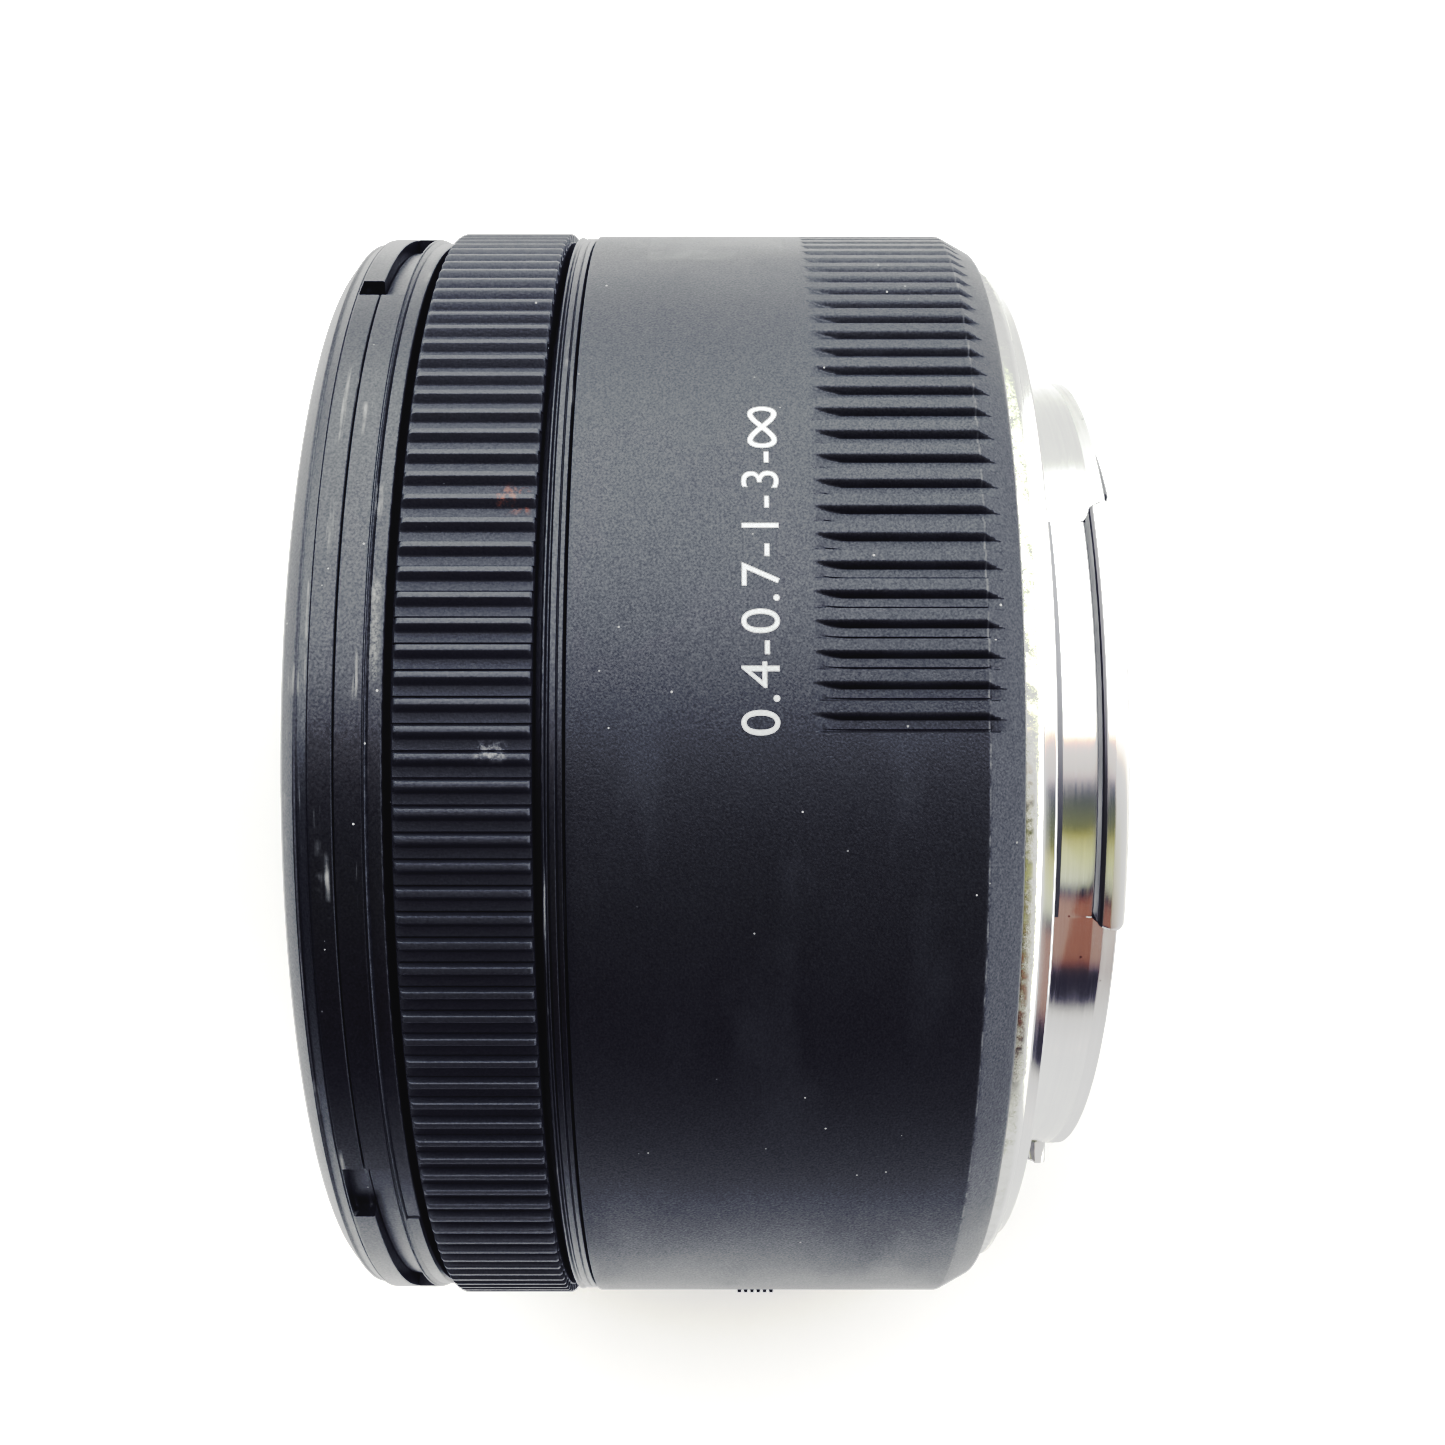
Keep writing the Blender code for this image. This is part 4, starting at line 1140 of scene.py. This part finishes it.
def make_front_bezel():
    """The face around the front glass: a flat ring outside and a stepped cone inside."""
    front, rear, radius = BEZEL.front, BEZEL.rear, BEZEL.radius
    outline = [(radius, rear), (radius, front + 0.05), (radius - 0.05, front), (23.4, front),
               (23.3, front + 0.10), (23.1, front + 0.10), (23.0, front), (18.6, front)]
    r = 18.4
    y = front + 0.05
    while r > 15.7:
        outline += [(r, y), (r - 0.05, y + 0.10), (r - 0.28, y + 0.10)]
        r -= 0.30
        y += 0.06
    outline += [(15.4, y + 0.05), (15.4, rear)]
    turned("front_face_ring", outline[::-1], "inner", "front_bezel", body="inner_barrel")


def surface_line(radius, vertex, half_width, steps):
    """Points of a spherical glass surface from its vertex out."""
    line = []
    for index in range(steps + 1):
        height = half_width * index / steps
        sag = math.copysign(abs(radius) - math.sqrt(radius ** 2 - height ** 2), radius)
        line.append((height, vertex + sag))
    return line


ELEMENTS = {
    "glass_1": (14.6, (30.0, -35.8), (110.0, -31.4), "glass_front"),
    "glass_2": (12.6, (18.5, -30.9), (27.0, -27.1), "glass_inner"),
    "glass_3": (10.8, (27.0, -26.9), (17.0, -25.6), "glass_inner"),
    "glass_4": (10.6, (-15.0, -14.4), (600.0, -13.1), "glass_inner"),
    "glass_5": (11.3, (600.0, -13.05), (-19.0, -8.0), "glass_inner"),
    "glass_6": (12.3, (120.0, -7.6), (-34.0, -3.6), "glass_rear"),
}


def make_glass():
    for node, (half_width, front, rear, look) in ELEMENTS.items():
        outline = surface_line(*front, half_width, 24)
        outline += reversed(surface_line(*rear, half_width, 24))
        solid_turned("element_" + node[-1], outline[::-1], look, node, body="inner_barrel")


def make_cells():
    """The cells that hold the glass, with light traps, and their slotted retaining rings."""
    cell = [(16.4, -34.3), (16.4, -22.7), (19.2, -22.7), (19.2, -21.75), (11.2, -21.75),
            (11.2, -23.7), (12.95, -23.7), (12.95, -30.0), (15.0, -30.0), (15.0, -34.3)]
    turned("front_lens_cell", rounded(cell[::-1], 0.1, 2), "inner", "front_cell", count=160,
           body="inner_barrel")
    cell = [(15.8, -16.8), (15.8, -15.55), (19.5, -15.55), (19.5, -14.6), (14.5, -14.6),
            (14.5, -3.0), (12.7, -3.0), (12.7, -7.9), (11.7, -7.9), (11.7, -13.4), (11.0, -13.4),
            (11.0, -16.8)]
    turned("rear_lens_cell", rounded(cell[::-1], 0.1, 2), "inner", "rear_cell", count=160,
           body="inner_barrel")
    for node, front, rear, outer, bore in (("front_retaining_ring", -34.0, -32.7, 14.9, 14.1),
                                           ("rear_retaining_ring", -5.2, -4.2, 12.55, 11.6)):
        outline = rounded([(bore, rear), (outer, rear), (outer, front), (bore, front)][::-1],
                          0.08, 3)
        ring = turned(node + "_turned", outline, "inner", node, count=160, body="inner_barrel",
                      slot="steel")
        cuts = []
        for side in (-1.0, 1.0):
            y = front if node.startswith("front") else rear
            cuts.append(box_points((side * 13.3 - 2.5, y - 0.4, -0.4),
                                   (side * 13.3 + 2.5, y + 0.4, 0.4)))
        carve(ring, cuts)


# ---- CAD nodes that stay

KEPT = {
    "guide_barrel": "grey", "contact_flex": "amber", "circuit_board": "board",
    "controller_chip": "inner", "focus_sensor": "grey", "mode_switch_body": "inner",
    "focus_motor": "steel", "gear_bracket": "grey", "encoder_strip": "foil",
    "cam_ring": "aluminium", "drive_gear_ring": "white", "idler_gear": "white",
    "motor_pinion": "brass", "diaphragm_base": "inner", "diaphragm_cover": "inner",
    "diaphragm_motor": "steel", "diaphragm_drive_ring": "white", "diaphragm_pinion": "brass",
    "cam_pin_1": "steel", "cam_pin_2": "steel", "cam_pin_3": "steel",
}


def dress_kept_nodes():
    """Give each CAD node that stays its material, and slightly rounded edges."""
    looks = dict(KEPT)
    for number in range(1, 8):
        looks["blade_" + str(number)] = "blade"
    for node, look in looks.items():
        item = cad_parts[node]
        for place in item.material_slots:
            place.material = LOOK[look]
        if not node.startswith("blade"):
            add_bevel(item, 0.05, 2)


# ---- studio

SKY = ((-180.0, (0.6, 0.6, 0.6)), (-97.0, (3.2, 3.26, 3.2)), (-75.0, (4.3, 4.38, 4.3)),
       (-20.0, (4.5, 4.53, 4.5)), (-9.0, (3.6, 3.6, 3.55)), (-7.0, (1.9, 1.65, 1.45)),
       (0.0, (1.15, 0.90, 0.76)), (3.6, (0.80, 0.72, 0.78)), (4.8, (0.19, 0.19, 0.22)),
       (10.0, (0.15, 0.155, 0.14)), (18.0, (0.20, 0.20, 0.13)), (19.0, (0.09, 0.09, 0.06)),
       (20.4, (0.46, 0.41, 0.19)), (27.0, (0.66, 0.66, 0.34)), (33.4, (0.60, 0.62, 0.47)),
       (34.6, (0.12, 0.12, 0.13)), (37.6, (0.07, 0.06, 0.07)), (39.0, (0.30, 0.17, 0.13)),
       (57.0, (0.28, 0.17, 0.13)), (61.0, (0.07, 0.065, 0.075)), (72.0, (0.07, 0.065, 0.075)),
       (76.0, (0.75, 0.73, 0.70)), (90.0, (1.55, 1.50, 1.44)), (110.0, (1.4, 1.37, 1.33)),
       (180.0, (0.6, 0.6, 0.6)))
SKY_PEAK = 5.1
REAR_END = 3.4             # light of the room's end behind the lens, along Y
FRONT_END = 0.15           # light of the other end, on its dark side
TONES = ((0.0, 0.0030), (0.018, 0.0075), (0.055, 0.040), (0.08, 0.10), (0.10, 0.165),
         (0.125, 0.245), (0.2, 0.40), (0.35, 0.57), (0.5, 0.62), (0.72, 0.68), (0.8, 0.74),
         (0.9, 0.89), (1.0, 1.0))
GREEN_TONES = ((0.0, 0.0), (0.012, 0.0121), (0.04, 0.0417), (0.11, 0.113), (0.2, 0.203),
               (0.5, 0.502), (1.0, 1.0))
BLUE_TONES = ((0.0, 0.002), (0.012, 0.0190), (0.032, 0.042), (0.09, 0.101), (0.2, 0.207),
              (0.5, 0.5), (1.0, 1.0))


def make_world():
    """A room with one bright side, darker overhead: its light depends on the direction about Y."""
    world = bpy.data.worlds.new("soft_room")
    bpy.context.scene.world = world
    world.use_nodes = True
    tree = world.node_tree
    tree.nodes.clear()

    def add(kind, inputs, **settings):
        return add_node(tree, kind, inputs, **settings)

    def stretch(value, low, high, kind="LINEAR"):
        return add("ShaderNodeMapRange", {"Value": value, "From Min": low, "From Max": high},
                   interpolation_type=kind).outputs[0]

    direction = add("ShaderNodeTexCoord", {}).outputs["Generated"]
    x, y, z = add("ShaderNodeSeparateXYZ", {0: direction}).outputs
    turn = add("ShaderNodeMath", {0: x, 1: z}, operation="ARCTAN2").outputs[0]
    share = stretch(turn, -math.pi, math.pi)
    ramp = add("ShaderNodeValToRGB", {"Fac": share})
    while len(ramp.color_ramp.elements) > 1:
        ramp.color_ramp.elements.remove(ramp.color_ramp.elements[0])
    for number, (angle, colour) in enumerate(SKY):
        place = (angle + 180.0) / 360.0
        stop = ramp.color_ramp.elements[0] if number == 0 else ramp.color_ramp.elements.new(place)
        stop.position = place
        stop.color = (*(channel / SKY_PEAK for channel in colour), 1.0)
    rear = stretch(y, 0.3, 0.8, "SMOOTHSTEP")
    dark_side = stretch(turn, math.radians(-15.0), math.radians(10.0))
    front = add("ShaderNodeMath", {0: stretch(y, -0.2, -0.7, "SMOOTHSTEP"), 1: dark_side},
                operation="MULTIPLY").outputs[0]
    colour = ramp.outputs["Color"]
    for amount, light in ((rear, REAR_END), (front, FRONT_END)):
        grey = (*(light / SKY_PEAK for _ in range(3)), 1.0)
        colour = add("ShaderNodeMix", {0: amount, 6: colour, 7: grey},
                     data_type="RGBA").outputs[2]
    room = add("ShaderNodeBackground", {"Color": colour, "Strength": SKY_PEAK})
    plain = add("ShaderNodeBackground", {"Color": (1.0, 1.0, 1.0, 1.0), "Strength": 1.0})
    seen = add("ShaderNodeLightPath", {}).outputs["Is Camera Ray"]
    mix = add("ShaderNodeMixShader", {0: seen, 1: room.outputs[0], 2: plain.outputs[0]})
    add("ShaderNodeOutputWorld", {"Surface": mix.outputs[0]})


def make_floor():
    """A plain pale surface, just under the object."""
    low, _ = CAD_BOX
    size = 3.0
    level = low.z
    corners = [(-size, -size, level), (size, -size, level), (size, size, level),
               (-size, size, level)]
    mesh = new_mesh("floor", corners, [(0, 1, 2, 3)])
    floor = placed("floor", mesh)
    surface = Surface("floor_white", (0.62, 0.623, 0.625), 0.8)
    place = surface.object_place()
    surface.tint(surface.noise(place, 0.02), (0.59, 0.593, 0.595), 0.15)
    mesh.materials.append(surface.done())


def make_lights():
    """A broad soft light on the bright side, and a weak one over the other."""
    for name, place, size, power in (("key", (-0.9, -0.1, 0.75), 0.9, 1.2),
                                     ("fill", (0.7, 0.4, 0.9), 0.8, 0.15)):
        light = bpy.data.lights.new(name, "AREA")
        light.size = size
        light.energy = power
        item = placed(name, light)
        item.location = place
        item.rotation_euler = (-Vector(place)).to_track_quat("-Z", "Y").to_euler()


def make_camera():
    """Straight above the lens, as if held over a table."""
    camera = bpy.data.cameras.new("camera")
    camera.lens = 45.1
    camera.sensor_width = 36.0
    camera.shift_x = -0.0055
    camera.shift_y = 0.028
    camera.clip_start = 0.01
    camera.clip_end = 20.0
    item = placed("camera", camera)
    item.location = (0.0, -0.0167, 0.1234)
    item.rotation_euler = (0.0, 0.0, math.pi / 2)
    bpy.context.scene.camera = item


def set_tones():
    """The contrast of a bright snapshot: deep, slightly blue shadows and soft highlights."""
    view = bpy.context.scene.view_settings
    view.view_transform = "Standard"
    view.use_curve_mapping = True
    for channel, tones in ((3, TONES), (1, GREEN_TONES), (2, BLUE_TONES)):
        curve = view.curve_mapping.curves[channel]
        curve.points[0].location = tones[0]
        curve.points[1].location = tones[-1]
        for place in tones[1:-1]:
            curve.points.new(*place)
        for point in curve.points:
            point.handle_type = "AUTO_CLAMPED"
    view.curve_mapping.update()


def main():
    make_camera()
    set_tones()
    make_world()
    make_floor()
    make_lights()
    make_front_trim_ring()
    make_hood_bayonet_ring()
    make_focus_ring()
    make_front_collar()
    make_main_barrel()
    make_switch()
    make_switch_knob()
    make_switch_marks()
    make_index_dot()
    make_distance_mark()
    make_mount()
    make_mount_screws()
    make_rear()
    make_contacts()
    make_inner_barrel()
    make_front_bezel()
    make_glass()
    make_cells()
    dress_kept_nodes()


main()
